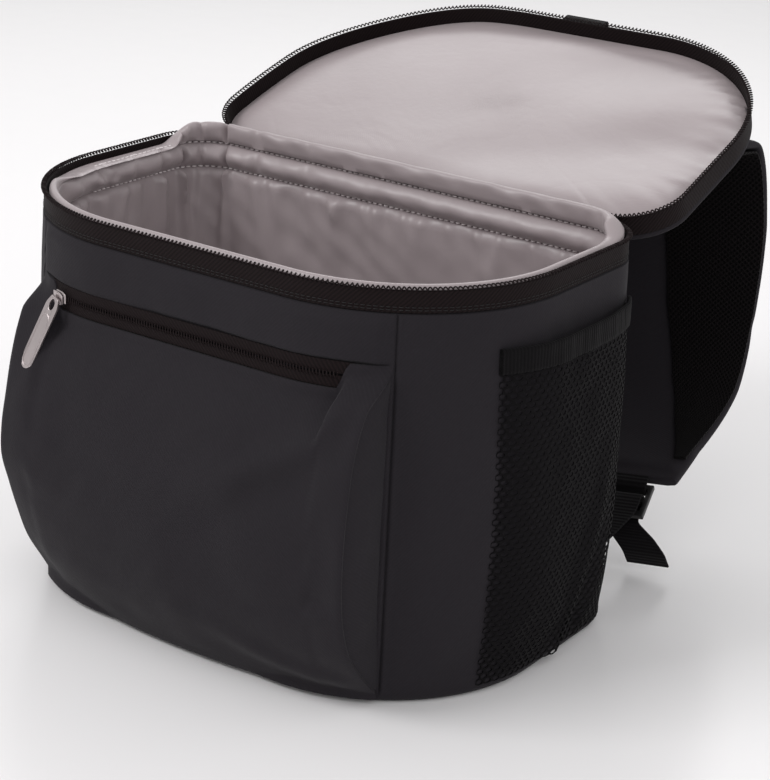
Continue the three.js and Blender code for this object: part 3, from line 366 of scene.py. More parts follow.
class CoolerColours(PropertyGroup):
    """Colours of the bag's finishes."""

    charcoal: paint("Charcoal cloth", "The body's woven cloth", 36, 33, 37)
    silver: paint("Silver lining", "The satin lining", 158, 147, 149)
    thread: paint("Lining thread", "The stitches on the lining", 226, 218, 219)
    tape: paint("Zip tape", "The woven tape of the zips", 21, 13, 14)
    coil: paint("Zip coil", "The zips' nylon loops", 30, 22, 23)
    net: paint("Net", "The knitted net", 8, 6, 8)
    elastic: paint("Elastic", "The ribbed bands over the nets", 10, 8, 10)
    air_mesh: paint("Air mesh", "The open knit on the straps", 9, 6, 7)
    webbing: paint("Webbing", "The straps' webbing", 13, 11, 13)
    plastic: paint("Plastic", "The adjusters", 16, 15, 16)
    metal: paint("Metal", "The sliders and the puller", 176, 167, 167)
    floor: paint("Floor", "The pale floor", 246, 244, 245)


def sizes():
    return bpy.context.scene.cooler_sizes


def colours():
    return bpy.context.scene.cooler_colours


# Curves and tables read with arrays


def smooth(value, low, high):
    way = np.clip((value - low) / (high - low), 0, 1)
    return way * way * (3 - 2 * way)


def hump(value, centre, width):
    return np.exp(-(((value - centre) / width) ** 2))


def read_table(table, column, share):
    """A table's column read as a smooth curve at shares of the height."""
    places = np.array([row["height"] for row in table], float)
    values = np.array([row[column] for row in table], float)
    slopes = np.gradient(values, places)
    share = np.clip(share, places[0], places[-1])
    low = np.clip(np.searchsorted(places, share) - 1, 0, len(places) - 2)
    gap = places[low + 1] - places[low]
    way = (share - places[low]) / gap
    start, end = values[low], values[low + 1]
    rise = (3 * way**2 - 2 * way**3) * (end - start)
    swing = (way**3 - 2 * way**2 + way) * slopes[low] + (way**3 - way**2) * slopes[low + 1]
    return start + rise + gap * swing


def ripple(u, v, size, seed, waves=14):
    """Soft irregular waves of about that size, from -1 to 1, the same each run."""
    random = np.random.RandomState(seed)
    total = np.zeros(np.broadcast(u, v).shape)
    for _ in range(waves):
        heading = random.uniform(0, math.pi)
        wavelength = size * random.uniform(0.7, 1.8)
        phase = random.uniform(0, 2 * math.pi)
        distance = u * math.cos(heading) + v * math.sin(heading)
        total = total + np.sin(2 * math.pi * distance / wavelength + phase)
    return total / math.sqrt(waves * 2)


def plan(width, depth):
    """The bag's outline from above, from the back right corner round the front and home along the back.

    Returns the distances, places and outward ways of a fine line, and the length up to the back left corner.
    """
    front = sizes().front_corner
    back = sizes().back_corner
    front_x, front_y = width / 2 - front, depth / 2 - front
    back_x, back_y = width / 2 - back, depth / 2 - back
    corners = [
        (back_x, back_y, back, 90, 0),
        (front_x, -front_y, front, 0, -90),
        (-front_x, -front_y, front, -90, -180),
        (-back_x, back_y, back, 180, 90),
    ]
    rows = []
    for x, y, radius, start, end in corners:
        angle = np.radians(np.linspace(start, end, 181))
        ways = np.stack((np.cos(angle), np.sin(angle)), axis=1)
        rows.append(np.hstack((np.array((x, y)) + ways * radius, ways)))
    rows.append(rows[0][:1])
    line = np.vstack(rows)
    steps = np.hypot(np.diff(line[:, 0]), np.diff(line[:, 1]))
    distance = np.concatenate(((0,), np.cumsum(steps)))
    return {"distance": distance, "line": line, "length": distance[-1], "corners": distance[-2]}


def along(path, distance):
    """Places and outward ways at distances along the outline."""
    wrapped = np.mod(distance, path["length"])
    return [np.interp(wrapped, path["distance"], path["line"][:, i]) for i in range(4)]


def distance_at_x(path, x):
    """Distance along the outline to a place on the front, by its x."""
    half = path["corners"] / 2
    front = (path["distance"] <= half) & (path["line"][:, 3] < 0)
    line = path["line"][front]
    found = np.interp(-np.abs(x), -line[:, 0], path["distance"][front])
    return np.where(np.asarray(x) >= 0, found, path["corners"] - found)


def distance_at_y(path, y):
    """Distance along the outline to a place on the right side, by its y."""
    side = path["distance"] <= path["corners"] / 2
    return np.interp(-np.asarray(y), -path["line"][side][:, 1], path["distance"][side])


def stations(start, end, pitch, seams=()):
    """Evenly spaced distances with a few close ones at each seam."""
    steps = max(2, round((end - start) / pitch))
    places = np.linspace(start, end, steps + 1)
    for seam in seams:
        places = places[np.abs(places - seam) > SEAM_CLEAR]
        places = np.concatenate((places, seam + SEAM_STATIONS))
    return np.sort(places)


def swell_at(z):
    return sizes().body_swell * read_table(BODY_SECTIONS, "swell", np.asarray(z) / RIM_TOP)


def seam_groove(distance, seam):
    """The sewn line of two cloths: a thin groove between two soft lips."""
    off = np.abs(distance - seam)
    return -0.9 * MM * hump(off, 0, 0.5 * MM) + 0.35 * MM * hump(off, 1.7 * MM, 0.9 * MM)


# Places on the outside of the body


def front_place(x, z, off):
    """A point in front of the body's front, that far off the cloth."""
    x, z = np.broadcast_arrays(np.asarray(x, float), np.asarray(z, float))
    centre_x = RIM_WIDTH / 2 - sizes().front_corner
    past = np.maximum(0, np.abs(x) - centre_x)
    radius = sizes().front_corner + swell_at(z) + off
    y = -RIM_DEPTH / 2 + sizes().front_corner - np.sqrt(radius**2 - past**2)
    return np.stack((x, y, z), axis=-1)


def side_place(y, z, off):
    """A point on the body's right side or its back corner, that far off the cloth."""
    y, z = np.broadcast_arrays(np.asarray(y, float), np.asarray(z, float))
    front, back = sizes().front_corner, sizes().back_corner
    reach = swell_at(z) + off
    front_past = np.maximum(0, -RIM_DEPTH / 2 + front - y)
    back_past = np.maximum(0, y - RIM_DEPTH / 2 + back)
    at_front = RIM_WIDTH / 2 - front + np.sqrt((front + reach) ** 2 - front_past**2)
    at_back = RIM_WIDTH / 2 - back + np.sqrt((back + reach) ** 2 - back_past**2)
    return np.stack((np.where(front_past > 0, at_front, at_back), y, z), axis=-1)


def back_place(x, z, off):
    """A point behind the body's back, that far off the cloth."""
    x, z = np.broadcast_arrays(np.asarray(x, float), np.asarray(z, float))
    back = sizes().back_corner
    past = np.maximum(0, np.abs(x) - RIM_WIDTH / 2 + back)
    y = RIM_DEPTH / 2 - back + np.sqrt((back + swell_at(z) + off) ** 2 - past**2)
    return np.stack((x, y, z), axis=-1)


# Meshes from grids of points


def new_piece(name, points, faces, uvs=None):
    mesh = bpy.data.meshes.new(name)
    mesh.from_pydata(points.tolist(), [], faces)
    mesh.update()
    if uvs is not None:
        layer = mesh.uv_layers.new(name="Cloth")
        corner_of = np.zeros(len(mesh.loops), np.int64)
        mesh.loops.foreach_get("vertex_index", corner_of)
        layer.data.foreach_set("uv", uvs(mesh, corner_of).astype(np.float32).ravel())
    piece = bpy.data.objects.new(name, mesh)
    bpy.context.scene.collection.objects.link(piece)
    return piece


def grid_faces(rows, count, wrap):
    across = count if wrap else count - 1
    low = (np.arange(rows - 1)[:, None] * count + np.arange(across)[None, :]).ravel()
    step = np.tile((np.arange(across) + 1) % count, rows - 1) + np.repeat(np.arange(rows - 1) * count, across)
    return np.stack((low, step, step + count, low + count), axis=1)


def signed_volume(points, quads):
    a, b, c, d = (points[quads[:, i]] for i in range(4))
    return (np.einsum("ij,ij->i", a, np.cross(b, c)) + np.einsum("ij,ij->i", a, np.cross(c, d))).sum()


def loft(name, rings, wrap=True, centre=None):
    """A mesh through rings of points, its faces turned outwards, with a cloth map in metres.

    A wrapped loft is capped and closed. An open one faces away from the centre point.
    """
    rings = np.asarray(rings, float)
    rows, count = rings.shape[:2]
    points = rings.reshape(-1, 3)
    quads = grid_faces(rows, count, wrap)
    if centre is not None:
        middle = points[quads].mean(axis=1)
        ways = np.cross(points[quads[:, 2]] - points[quads[:, 0]], points[quads[:, 3]] - points[quads[:, 1]])
        turned = np.einsum("ij,ij->i", ways, middle - np.asarray(centre)).sum() < 0
    else:
        middle = points.mean(axis=0)
        turned = signed_volume(points - middle, quads) < 0
    if turned:
        quads = quads[:, ::-1]
    faces = quads.tolist()
    if wrap:
        for row in (0, rows - 1):
            hub = len(points)
            points = np.vstack((points, points[row * count:(row + 1) * count].mean(axis=0)))
            outward = (row == 0) == turned
            for i in range(count):
                a, b = row * count + i, row * count + (i + 1) % count
                faces.append((a, b, hub) if outward else (b, a, hub))
    closed = np.concatenate((rings, rings[:, :1]), axis=1) if wrap else rings
    across = np.linalg.norm(np.diff(closed, axis=1), axis=2).mean(axis=0)
    down = np.linalg.norm(np.diff(rings, axis=0), axis=2).mean(axis=1)
    u = np.concatenate(((0,), np.cumsum(across)))
    v = np.concatenate(((0,), np.cumsum(down)))

    def cloth_map(mesh, corner_of):
        row, column = corner_of // count, corner_of % count
        hub = row >= rows
        row = np.minimum(row, rows - 1)
        flat = np.stack((u[column], v[row]), axis=1)
        if wrap:
            starts = np.zeros(len(mesh.polygons), np.int64)
            totals = np.zeros(len(mesh.polygons), np.int64)
            mesh.polygons.foreach_get("loop_start", starts)
            mesh.polygons.foreach_get("loop_total", totals)
            face_of = np.repeat(np.arange(len(totals)), totals)
            highest = np.zeros(len(totals), np.int64)
            np.maximum.at(highest, face_of, np.where(hub, 0, column))
            home = (column == 0) & (highest[face_of] > count // 2) & ~hub
            flat[home, 0] = u[-1]
        return flat

    return new_piece(name, points, faces, cloth_map)


def axes_matrix(x_way, y_way, z_way, place):
    """The matrix that turns the axes to three ways and moves the origin to a place."""
    basis = np.eye(4)
    basis[:3] = np.stack((x_way, y_way, z_way, place), axis=1)
    return Matrix(basis.tolist())


def select_only(piece):
    bpy.ops.object.select_all(action="DESELECT")
    piece.select_set(True)
    bpy.context.view_layer.objects.active = piece


def apply_modifier(piece, kind, **settings):
    select_only(piece)
    modifier = piece.modifiers.new(kind.title(), kind)
    for name, value in settings.items():
        setattr(modifier, name, value)
    bpy.ops.object.modifier_apply(modifier=modifier.name)


def start_edit(piece):
    select_only(piece)
    bpy.ops.object.mode_set(mode="EDIT")


def end_edit():
    bpy.ops.object.mode_set(mode="OBJECT")


def make_consistent(piece):
    """Turns a closed mesh's faces outwards."""
    start_edit(piece)
    bpy.ops.mesh.select_all(action="SELECT")
    bpy.ops.mesh.normals_make_consistent(inside=False)
    end_edit()


def swell(piece, sewn, cap):
    """Swells a closed pad by cloth under pressure, held where it is sewn, and no further than the cap."""
    start = vertex_places(piece)
    group = piece.vertex_groups.new(name="Sewn")
    group.add(sewn, 1, "REPLACE")
    select_only(piece)
    cloth = piece.modifiers.new("Cloth", "CLOTH")
    cloth.settings.quality = PAD_QUALITY
    cloth.settings.use_pressure = True
    cloth.settings.uniform_pressure_force = PAD_PRESSURE
    cloth.settings.effector_weights.gravity = 0
    cloth.settings.vertex_group_mass = "Sewn"
    cloth.point_cache.frame_start = 1
    cloth.point_cache.frame_end = SWELL_FRAMES
    for frame in range(1, SWELL_FRAMES + 1):
        bpy.context.scene.frame_set(frame)
    bpy.ops.object.modifier_apply(modifier="Cloth")
    bpy.context.scene.frame_set(1)
    piece.vertex_groups.clear()
    moved = vertex_places(piece) - start
    reach = np.linalg.norm(moved, axis=1)[:, None]
    places = start + moved * np.minimum(1, cap / np.maximum(reach, 1e-9))
    piece.data.vertices.foreach_set("co", places.ravel())
    piece.data.update()
    apply_modifier(piece, "SUBSURF", levels=1, render_levels=1)


def vertex_places(piece):
    places = np.empty(len(piece.data.vertices) * 3)
    piece.data.vertices.foreach_get("co", places)
    return places.reshape(-1, 3)


def give_wall(piece, thickness):
    """Makes a sheet as thick as asked, inwards from its faces."""
    apply_modifier(piece, "SOLIDIFY", thickness=thickness, offset=-1, use_even_offset=True)


def finish_piece(piece, look, body=BAG, nodes=(), angle=40):
    """Material, smoothing, body and the frame nodes that the piece stands for."""
    piece.data.materials.clear()
    piece.data.materials.append(bpy.data.materials[look])
    select_only(piece)
    bpy.ops.object.shade_smooth_by_angle(angle=math.radians(angle))
    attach(piece, body)
    if nodes:
        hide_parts(*nodes)
    return piece


def tube(name, line, radius, sides):
    """A round thread or wire along a line of points."""
    line = np.asarray(line, float)
    tangent = np.gradient(line, axis=0)
    tangent /= np.linalg.norm(tangent, axis=1)[:, None]
    normal = np.zeros_like(tangent)
    guess = np.array((0.0, 0.0, 1.0)) if abs(tangent[0, 2]) < 0.9 else np.array((1.0, 0.0, 0.0))
    for i, way in enumerate(tangent):
        guess = guess - way * guess.dot(way)
        guess /= np.linalg.norm(guess)
        normal[i] = guess
    side = np.cross(tangent, normal)
    angle = np.arange(sides) / sides * 2 * math.pi
    rings = line[:, None] + radius * (
        normal[:, None] * np.cos(angle)[None, :, None] + side[:, None] * np.sin(angle)[None, :, None]
    )
    return loft(name, rings)


def joined(name, pieces):
    """Pieces of one kind joined into one object."""
    bpy.ops.object.select_all(action="DESELECT")
    for piece in pieces:
        piece.select_set(True)
    bpy.context.view_layer.objects.active = pieces[0]
    if len(pieces) > 1:
        bpy.ops.object.join()
    pieces[0].name = name
    pieces[0].data.name = name
    return pieces[0]


def read_line(line, distance, at):
    """The point of a line at one distance along it."""
    return np.array([np.interp(at, distance, line[:, i]) for i in range(3)])


def stitch_run(name, runs, reach, radius):
    """Rows of short stitches: each run is a line of points and the cloth's outward ways along it."""
    shares = np.array((-0.5, -0.42, -0.2, 0.2, 0.42, 0.5))
    lifts = np.array((-0.5, 0.15, 0.75, 0.75, 0.15, -0.5))
    widths = np.array((0.25, 0.85, 1, 1, 0.85, 0.25))
    sides = 6
    angle = np.arange(sides) / sides * 2 * math.pi
    points = []
    faces = []
    base = 0
    ring = grid_faces(len(shares), sides, True)
    for line, ways in runs:
        distance = np.concatenate(((0,), np.cumsum(np.linalg.norm(np.diff(line, axis=0), axis=1))))
        pitch = reach * 1.35
        for at in np.arange(pitch, distance[-1] - pitch / 2, pitch):
            centre = read_line(line, distance, at)
            ahead = read_line(line, distance, at + reach / 2)
            behind = read_line(line, distance, at - reach / 2)
            up = read_line(ways, distance, at)
            heading = (ahead - behind) / np.linalg.norm(ahead - behind)
            aside = np.cross(up, heading)
            for share, lift, width in zip(shares, lifts, widths):
                middle = centre + heading * share * reach + up * lift * radius
                circle = np.cos(angle)[:, None] * aside + np.sin(angle)[:, None] * up
                points.append(middle + radius * width * circle)
            faces.extend((ring + base).tolist())
            faces.append([base + i for i in range(sides)])
            faces.append([base + (len(shares) - 1) * sides + i for i in reversed(range(sides))])
            base += len(shares) * sides
    piece = new_piece(name, np.vstack(points), faces)
    make_consistent(piece)
    return piece


# Shared shader groups


def link(tree, start, end):
    tree.links.new(start, end)


def math_node(tree, operation, first, second=None, third=None):
    node = tree.nodes.new("ShaderNodeMath")
    node.operation = operation
    for socket, value in zip(node.inputs, (first, second, third)):
        if value is None:
            continue
        if isinstance(value, (int, float)):
            socket.default_value = value
        else:
            link(tree, value, socket)
    return node.outputs[0]


def group_tree(name, inputs, outputs):
    tree = bpy.data.node_groups.new(name, "ShaderNodeTree")
    for label, kind, value in inputs:
        socket = tree.interface.new_socket(name=label, in_out="INPUT", socket_type=kind)
        if value is not None:
            socket.default_value = value
    for label, kind in outputs:
        tree.interface.new_socket(name=label, in_out="OUTPUT", socket_type=kind)
    return tree, tree.nodes.new("NodeGroupInput"), tree.nodes.new("NodeGroupOutput")


def map_inputs(across, along):
    """A group's inputs: the cloth map, and its threads, ribs or holes to a metre."""
    return [
        ("Vector", "NodeSocketVector", None),
        ("Across", "NodeSocketFloat", across),
        ("Along", "NodeSocketFloat", along),
    ]


def scaled_map(tree, given):
    """The cloth map counted in threads, ribs or holes across and along."""
    split = tree.nodes.new("ShaderNodeSeparateXYZ")
    link(tree, given.outputs["Vector"], split.inputs[0])
    across = math_node(tree, "MULTIPLY", split.outputs[0], given.outputs["Across"])
    down = math_node(tree, "MULTIPLY", split.outputs[1], given.outputs["Along"])
    return across, down


def weave_group():
    """Threads crossing over and under: a raised height, and a tone from 0 to 1 that is painted shade, dark in
    the dips between threads and light on the raised threads, varied at random by noise.
    """
    tree, given, result = group_tree(
        "Weave",
        [*map_inputs(1000.0, 1000.0), ("Twill", "NodeSocketFloat", 0.0)],
        [("Height", "NodeSocketFloat"), ("Tone", "NodeSocketFloat")],
    )
    across, down = scaled_map(tree, given)
    full_turn = 2 * math.pi
    warp = math_node(tree, "SINE", math_node(tree, "MULTIPLY", across, full_turn))
    weft = math_node(tree, "SINE", math_node(tree, "MULTIPLY", down, full_turn))
    plain = math_node(tree, "MULTIPLY", warp, weft)
    slanted = math_node(tree, "ADD", across, down)
    diagonal = math_node(tree, "SINE", math_node(tree, "MULTIPLY", slanted, full_turn / 2))
    share = math_node(tree, "MULTIPLY", diagonal, given.outputs["Twill"])
    keep = math_node(tree, "MULTIPLY", plain, math_node(tree, "SUBTRACT", 1.0, given.outputs["Twill"]))
    height = math_node(tree, "MULTIPLY_ADD", math_node(tree, "ADD", share, keep), 0.5, 0.5)
    link(tree, height, result.inputs["Height"])
    noise = tree.nodes.new("ShaderNodeTexNoise")
    noise.inputs["Scale"].default_value = 700
    noise.inputs["Detail"].default_value = 1
    link(tree, given.outputs["Vector"], noise.inputs["Vector"])
    # Painted shade: the tone follows the threads' height, varied at random by the noise.
    mixed = math_node(tree, "MULTIPLY", height, noise.outputs[0])
    tone = math_node(tree, "MULTIPLY_ADD", mixed, 1.2, 0.1)
    link(tree, tone, result.inputs["Tone"])
    return tree


def cloud_group():
    """Broad and fine unevenness of cloth, from 0 to 1."""
    tree, given, result = group_tree(
        "Cloud",
        [
            ("Vector", "NodeSocketVector", None),
            ("Broad", "NodeSocketFloat", 12.0),
            ("Fine", "NodeSocketFloat", 90.0),
        ],
        [("Tone", "NodeSocketFloat"), ("Grain", "NodeSocketFloat")],
    )
    for label, socket, detail in (("Broad", "Tone", 3), ("Fine", "Grain", 4)):
        noise = tree.nodes.new("ShaderNodeTexNoise")
        noise.inputs["Detail"].default_value = detail
        noise.inputs["Roughness"].default_value = 0.55
        link(tree, given.outputs["Vector"], noise.inputs["Vector"])
        link(tree, given.outputs[label], noise.inputs["Scale"])
        link(tree, noise.outputs[0], result.inputs[socket])
    return tree


def crease_group():
    """Fine creases of thin satin: a height from 0 to 1."""
    tree, given, result = group_tree(
        "Creases",
        [("Vector", "NodeSocketVector", None), ("Scale", "NodeSocketFloat", 30.0)],
        [("Height", "NodeSocketFloat")],
    )
    noise = tree.nodes.new("ShaderNodeTexNoise")
    noise.inputs["Detail"].default_value = 2
    noise.inputs["Distortion"].default_value = 0.9
    link(tree, given.outputs["Vector"], noise.inputs["Vector"])
    link(tree, given.outputs["Scale"], noise.inputs["Scale"])
    folded = math_node(tree, "ABSOLUTE", math_node(tree, "SUBTRACT", noise.outputs[0], 0.5))
    height = math_node(tree, "MULTIPLY", folded, 2.0)
    link(tree, height, result.inputs["Height"])
    return tree


def ribs_group():
    """Straight ribs along the cloth map: a height from 0 to 1, for the bump and for the painted shade in the
    grooves.
    """
    tree, given, result = group_tree(
        "Ribs",
        map_inputs(0.0, 600.0),
        [("Height", "NodeSocketFloat")],
    )
    across, down = scaled_map(tree, given)
    turn = math_node(tree, "MULTIPLY", math_node(tree, "ADD", across, down), 2 * math.pi)
    height = math_node(tree, "MULTIPLY_ADD", math_node(tree, "SINE", turn), 0.5, 0.5)
    link(tree, height, result.inputs["Height"])
    return tree


def open_knit_group():
    """Staggered round holes of an open knit: a mask that is 1 in a hole, where painted shade goes, and a
    height.
    """
    tree, given, result = group_tree(
        "Open knit",
        map_inputs(400.0, 400.0),
        [("Hole shade", "NodeSocketFloat"), ("Height", "NodeSocketFloat")],
    )
    across, down = scaled_map(tree, given)
    rising = math_node(tree, "ADD", across, down)
    falling = math_node(tree, "SUBTRACT", across, down)
    first = math_node(tree, "COSINE", math_node(tree, "MULTIPLY", rising, math.pi))
    second = math_node(tree, "COSINE", math_node(tree, "MULTIPLY", falling, math.pi))
    crossing = math_node(tree, "ABSOLUTE", math_node(tree, "MULTIPLY", first, second))
    hole = tree.nodes.new("ShaderNodeMapRange")
    hole.inputs["From Min"].default_value = 0.35
    hole.inputs["From Max"].default_value = 0.7
    link(tree, crossing, hole.inputs["Value"])
    link(tree, hole.outputs[0], result.inputs["Hole shade"])
    link(tree, math_node(tree, "SUBTRACT", 1.0, crossing), result.inputs["Height"])
    return tree


def place_group(tree, name, coordinates, **values):
    node = tree.nodes.new("ShaderNodeGroup")
    node.node_tree = bpy.data.node_groups[name]
    link(tree, coordinates, node.inputs["Vector"])
    for label, value in values.items():
        node.inputs[label].default_value = value
    return node


def new_material(name):
    """A material's node tree, its shader and its coordinates."""
    material = bpy.data.materials.new(name)
    material.use_nodes = True
    tree = material.node_tree
    return tree, tree.nodes["Principled BSDF"], tree.nodes.new("ShaderNodeTexCoord")


def blend_colours(tree, factor, dark, light):
    node = tree.nodes.new("ShaderNodeMix")
    node.data_type = "RGBA"
    link(tree, factor, node.inputs["Factor"])
    for socket, value in ((node.inputs["A"], dark), (node.inputs["B"], light)):
        if isinstance(value, bpy.types.NodeSocket):
            link(tree, value, socket)
        else:
            socket.default_value = (*value, 1)
    return node.outputs["Result"]


def ranged(tree, value, low, high):
    node = tree.nodes.new("ShaderNodeMapRange")
    node.inputs["To Min"].default_value = low
    node.inputs["To Max"].default_value = high
    link(tree, value, node.inputs["Value"])
    return node.outputs[0]


def bump(tree, shader, layers):
    """Bump nodes in a row, each a height with its depth in metres."""
    before = None
    for height, depth in layers:
        node = tree.nodes.new("ShaderNodeBump")
        node.inputs["Strength"].default_value = 1
        node.inputs["Distance"].default_value = depth
        link(tree, height, node.inputs["Height"])
        if before is not None:
            link(tree, before, node.inputs["Normal"])
        before = node.outputs[0]
    link(tree, before, shader.inputs["Normal"])


def tinted(colour, share):
    return tuple(min(1, channel * share) for channel in colour)


def set_finish(tree, shader, grain, roughness, specular, sheen=0.0, sheen_roughness=0.5):
    """Roughness between two values by the grain, with the strength of highlights and sheen."""
    link(tree, ranged(tree, grain, *roughness), shader.inputs["Roughness"])
    shader.inputs["Specular IOR Level"].default_value = specular
    shader.inputs["Sheen Weight"].default_value = sheen
    shader.inputs["Sheen Roughness"].default_value = sheen_roughness


def charcoal_material():
    tree, shader, place = new_material("Charcoal cloth")
    colour = colours().charcoal
    weave = place_group(tree, "Weave", place.outputs["UV"], Across=950, Along=950, Twill=0.7)
    cloud = place_group(tree, "Cloud", place.outputs["Object"], Broad=14, Fine=420)
    base = blend_colours(tree, cloud.outputs["Tone"], tinted(colour, 0.86), tinted(colour, 1.14))
    # Painted shade of the weave: the thread colour is darker in the dips and lighter on the raised threads,
    # mixed with a random tone.
    threads = blend_colours(tree, weave.outputs["Tone"], tinted(colour, 0.7), tinted(colour, 1.3))
    mixed = tree.nodes.new("ShaderNodeMix")
    mixed.data_type = "RGBA"
    mixed.inputs["Factor"].default_value = 0.45
    link(tree, base, mixed.inputs["A"])
    link(tree, threads, mixed.inputs["B"])
    link(tree, mixed.outputs["Result"], shader.inputs["Base Color"])
    set_finish(tree, shader, cloud.outputs["Grain"], (0.72, 0.9), 0.12, sheen=0.04)
    bump(tree, shader, [(weave.outputs["Height"], 0.06 * MM), (cloud.outputs["Grain"], 0.12 * MM)])


def satin_material():
    tree, shader, place = new_material("Silver satin")
    colour = colours().silver
    cloud = place_group(tree, "Cloud", place.outputs["Object"], Broad=18, Fine=260)
    creases = place_group(tree, "Creases", place.outputs["Object"], Scale=16)
    threads = place_group(tree, "Weave", place.outputs["UV"], Across=1600, Along=1600, Twill=0.9)
    base = blend_colours(tree, cloud.outputs["Tone"], tinted(colour, 0.94), tinted(colour, 1.05))
    link(tree, base, shader.inputs["Base Color"])
    set_finish(tree, shader, cloud.outputs["Grain"], (0.3, 0.4), 0.42, sheen=0.12, sheen_roughness=0.35)
    bump(
        tree,
        shader,
        [
            (creases.outputs["Height"], 0.35 * MM),
            (cloud.outputs["Grain"], 0.1 * MM),
            (threads.outputs["Height"], 0.015 * MM),
        ],
    )


def ribbed_material(name, colour, across, along_ribs, depth, roughness):
    tree, shader, place = new_material(name)
    ribs = place_group(tree, "Ribs", place.outputs["UV"], Across=across, Along=along_ribs)
    weave = place_group(tree, "Weave", place.outputs["UV"], Across=1100, Along=1100, Twill=0.5)
    cloud = place_group(tree, "Cloud", place.outputs["Object"], Broad=20, Fine=500)
    # Painted shade of the ribs: the colour is darker in the grooves and lighter on the rib tops, by the ribs'
    # height.
    base = blend_colours(tree, ribs.outputs["Height"], tinted(colour, 0.6), tinted(colour, 1.35))
    link(tree, base, shader.inputs["Base Color"])
    set_finish(tree, shader, cloud.outputs["Grain"], (roughness - 0.08, roughness + 0.08), 0.1, sheen=0.02)
    bump(tree, shader, [(ribs.outputs["Height"], depth), (weave.outputs["Height"], 0.05 * MM)])


def knit_material(name, colour, across, along_knit, depth):
    tree, shader, place = new_material(name)
    knit = place_group(tree, "Open knit", place.outputs["UV"], Across=across, Along=along_knit)
    cloud = place_group(tree, "Cloud", place.outputs["Object"], Broad=25, Fine=600)
    # Painted shade in the knit's holes: nearly black in a hole, the yarn round it lighter.
    base = blend_colours(tree, knit.outputs["Hole shade"], tinted(colour, 1.5), tinted(colour, 0.12))
    link(tree, base, shader.inputs["Base Color"])
    set_finish(tree, shader, cloud.outputs["Grain"], (0.6, 0.85), 0.08, sheen=0.02)
    bump(tree, shader, [(knit.outputs["Height"], depth), (cloud.outputs["Grain"], 0.1 * MM)])


def moulded_material(name, colour, roughness, metallic=0.0, specular=0.5):
    tree, shader, place = new_material(name)
    cloud = place_group(tree, "Cloud", place.outputs["Object"], Broad=60, Fine=900)
    base = blend_colours(tree, cloud.outputs["Tone"], tinted(colour, 0.88), tinted(colour, 1.1))
    link(tree, base, shader.inputs["Base Color"])
    shader.inputs["Metallic"].default_value = metallic
    set_finish(tree, shader, cloud.outputs["Grain"], (roughness - 0.07, roughness + 0.1), specular)
    bump(tree, shader, [(cloud.outputs["Grain"], 0.03 * MM)])


def make_materials():
    for build in (weave_group, cloud_group, crease_group, ribs_group, open_knit_group):
        build()
    charcoal_material()
    satin_material()
    ribbed_material("Zip tape", colours().tape, 420, 420, 0.12 * MM, 0.72)
    ribbed_material("Hinge cloth", colours().tape, 0, 900, 0.05 * MM, 0.8)
    ribbed_material("Elastic", colours().elastic, 0, 520, 0.16 * MM, 0.78)
    ribbed_material("Webbing", colours().webbing, 0, 420, 0.18 * MM, 0.7)
    ribbed_material("Net yarn", colours().net, 900, 900, 0.04 * MM, 0.8)
    knit_material("Air mesh", colours().air_mesh, 330, 330, 0.5 * MM)
    moulded_material("Zip coil", colours().coil, 0.6, specular=0.12)
    moulded_material("Moulded plastic", colours().plastic, 0.42)
    moulded_material("Lining thread", colours().thread, 0.6)
    moulded_material("Dark thread", colours().webbing, 0.7)
    moulded_material("Brushed metal", colours().metal, 0.3, metallic=0.9)


# The body


def wrap_stations(path, pitch, seams=()):
    places = stations(0, path["length"], pitch, seams)
    return places[(places >= 0) & (places < path["length"] - pitch / 3)]


def ring_at(path, distance, reach, z):
    """One ring of the outline, moved out by reach and lifted to z."""
    x, y, nx, ny = along(path, distance)
    reach, z = np.broadcast_to(reach, x.shape), np.broadcast_to(z, x.shape)
    return np.stack((x + nx * reach, y + ny * reach, z), axis=-1)


def shell_seams(path):
    """Distances along the outline of the two seams that the pocket is sewn into."""
    return [float(distance_at_x(path, side * SEAM_X)) for side in (1, -1)]


def zip_lift(path, at, z):
    """The front cloth above the pocket zip, as thick as the pocket's own cloth."""
    x, y, _, _ = along(path, at)
    between = smooth(SEAM_X - np.abs(x), 1 * MM, 7 * MM) * (y < 0)
    above = smooth(z - zip_height(x) - ZIP_WINDOW / 2, 0.2 * MM, 1.2 * MM)
    return POCKET_WALL * between * above * smooth(SHELL_TOP - z, 0, 6 * MM)


def body_shell():
    path = plan(RIM_WIDTH, RIM_DEPTH)
    seams = shell_seams(path)
    at = wrap_stations(path, 2.6 * MM, seams)
    edge, wall = sizes().base_edge, sizes().shell_wall
    rings = []
    for angle in np.radians(np.linspace(0, 90, 7)):
        z = edge * (1 - math.cos(angle))
        rings.append(ring_at(path, at, swell_at(z) - edge * (1 - math.sin(angle)), z))
    for z in np.linspace(edge, SHELL_TOP, 120)[1:]:
        groove = sum(seam_groove(at, seam) for seam in seams)
        soft = 0.5 * MM * ripple(at, z, 60 * MM, 11) + 0.22 * MM * ripple(at, z, 22 * MM, 12)
        pucker = sum(hump(at, seam, 9 * MM) for seam in seams) * 0.35 * MM * ripple(at * 0.3, z, 9 * MM, 13)
        free = smooth(z, edge, 5 * edge) * smooth(SHELL_TOP - z, 0, 14 * MM)
        reach = swell_at(z) + groove + free * (soft + pucker) + zip_lift(path, at, z)
        rings.append(ring_at(path, at, reach, z))
    rings[-1][:, 2] -= 0.4 * MM
    rings.append(ring_at(path, at, -0.5 * MM, SHELL_TOP))
    for z in np.linspace(SHELL_TOP, 9 * MM, 8):
        rings.append(ring_at(path, at, swell_at(z) - wall, z))
    rings.append(ring_at(path, at, -wall - edge / 2, 4 * MM))
    piece = loft("shell_cloth", rings)
    finish_piece(piece, "Charcoal cloth", nodes=["body_shell"])


# The silver lining

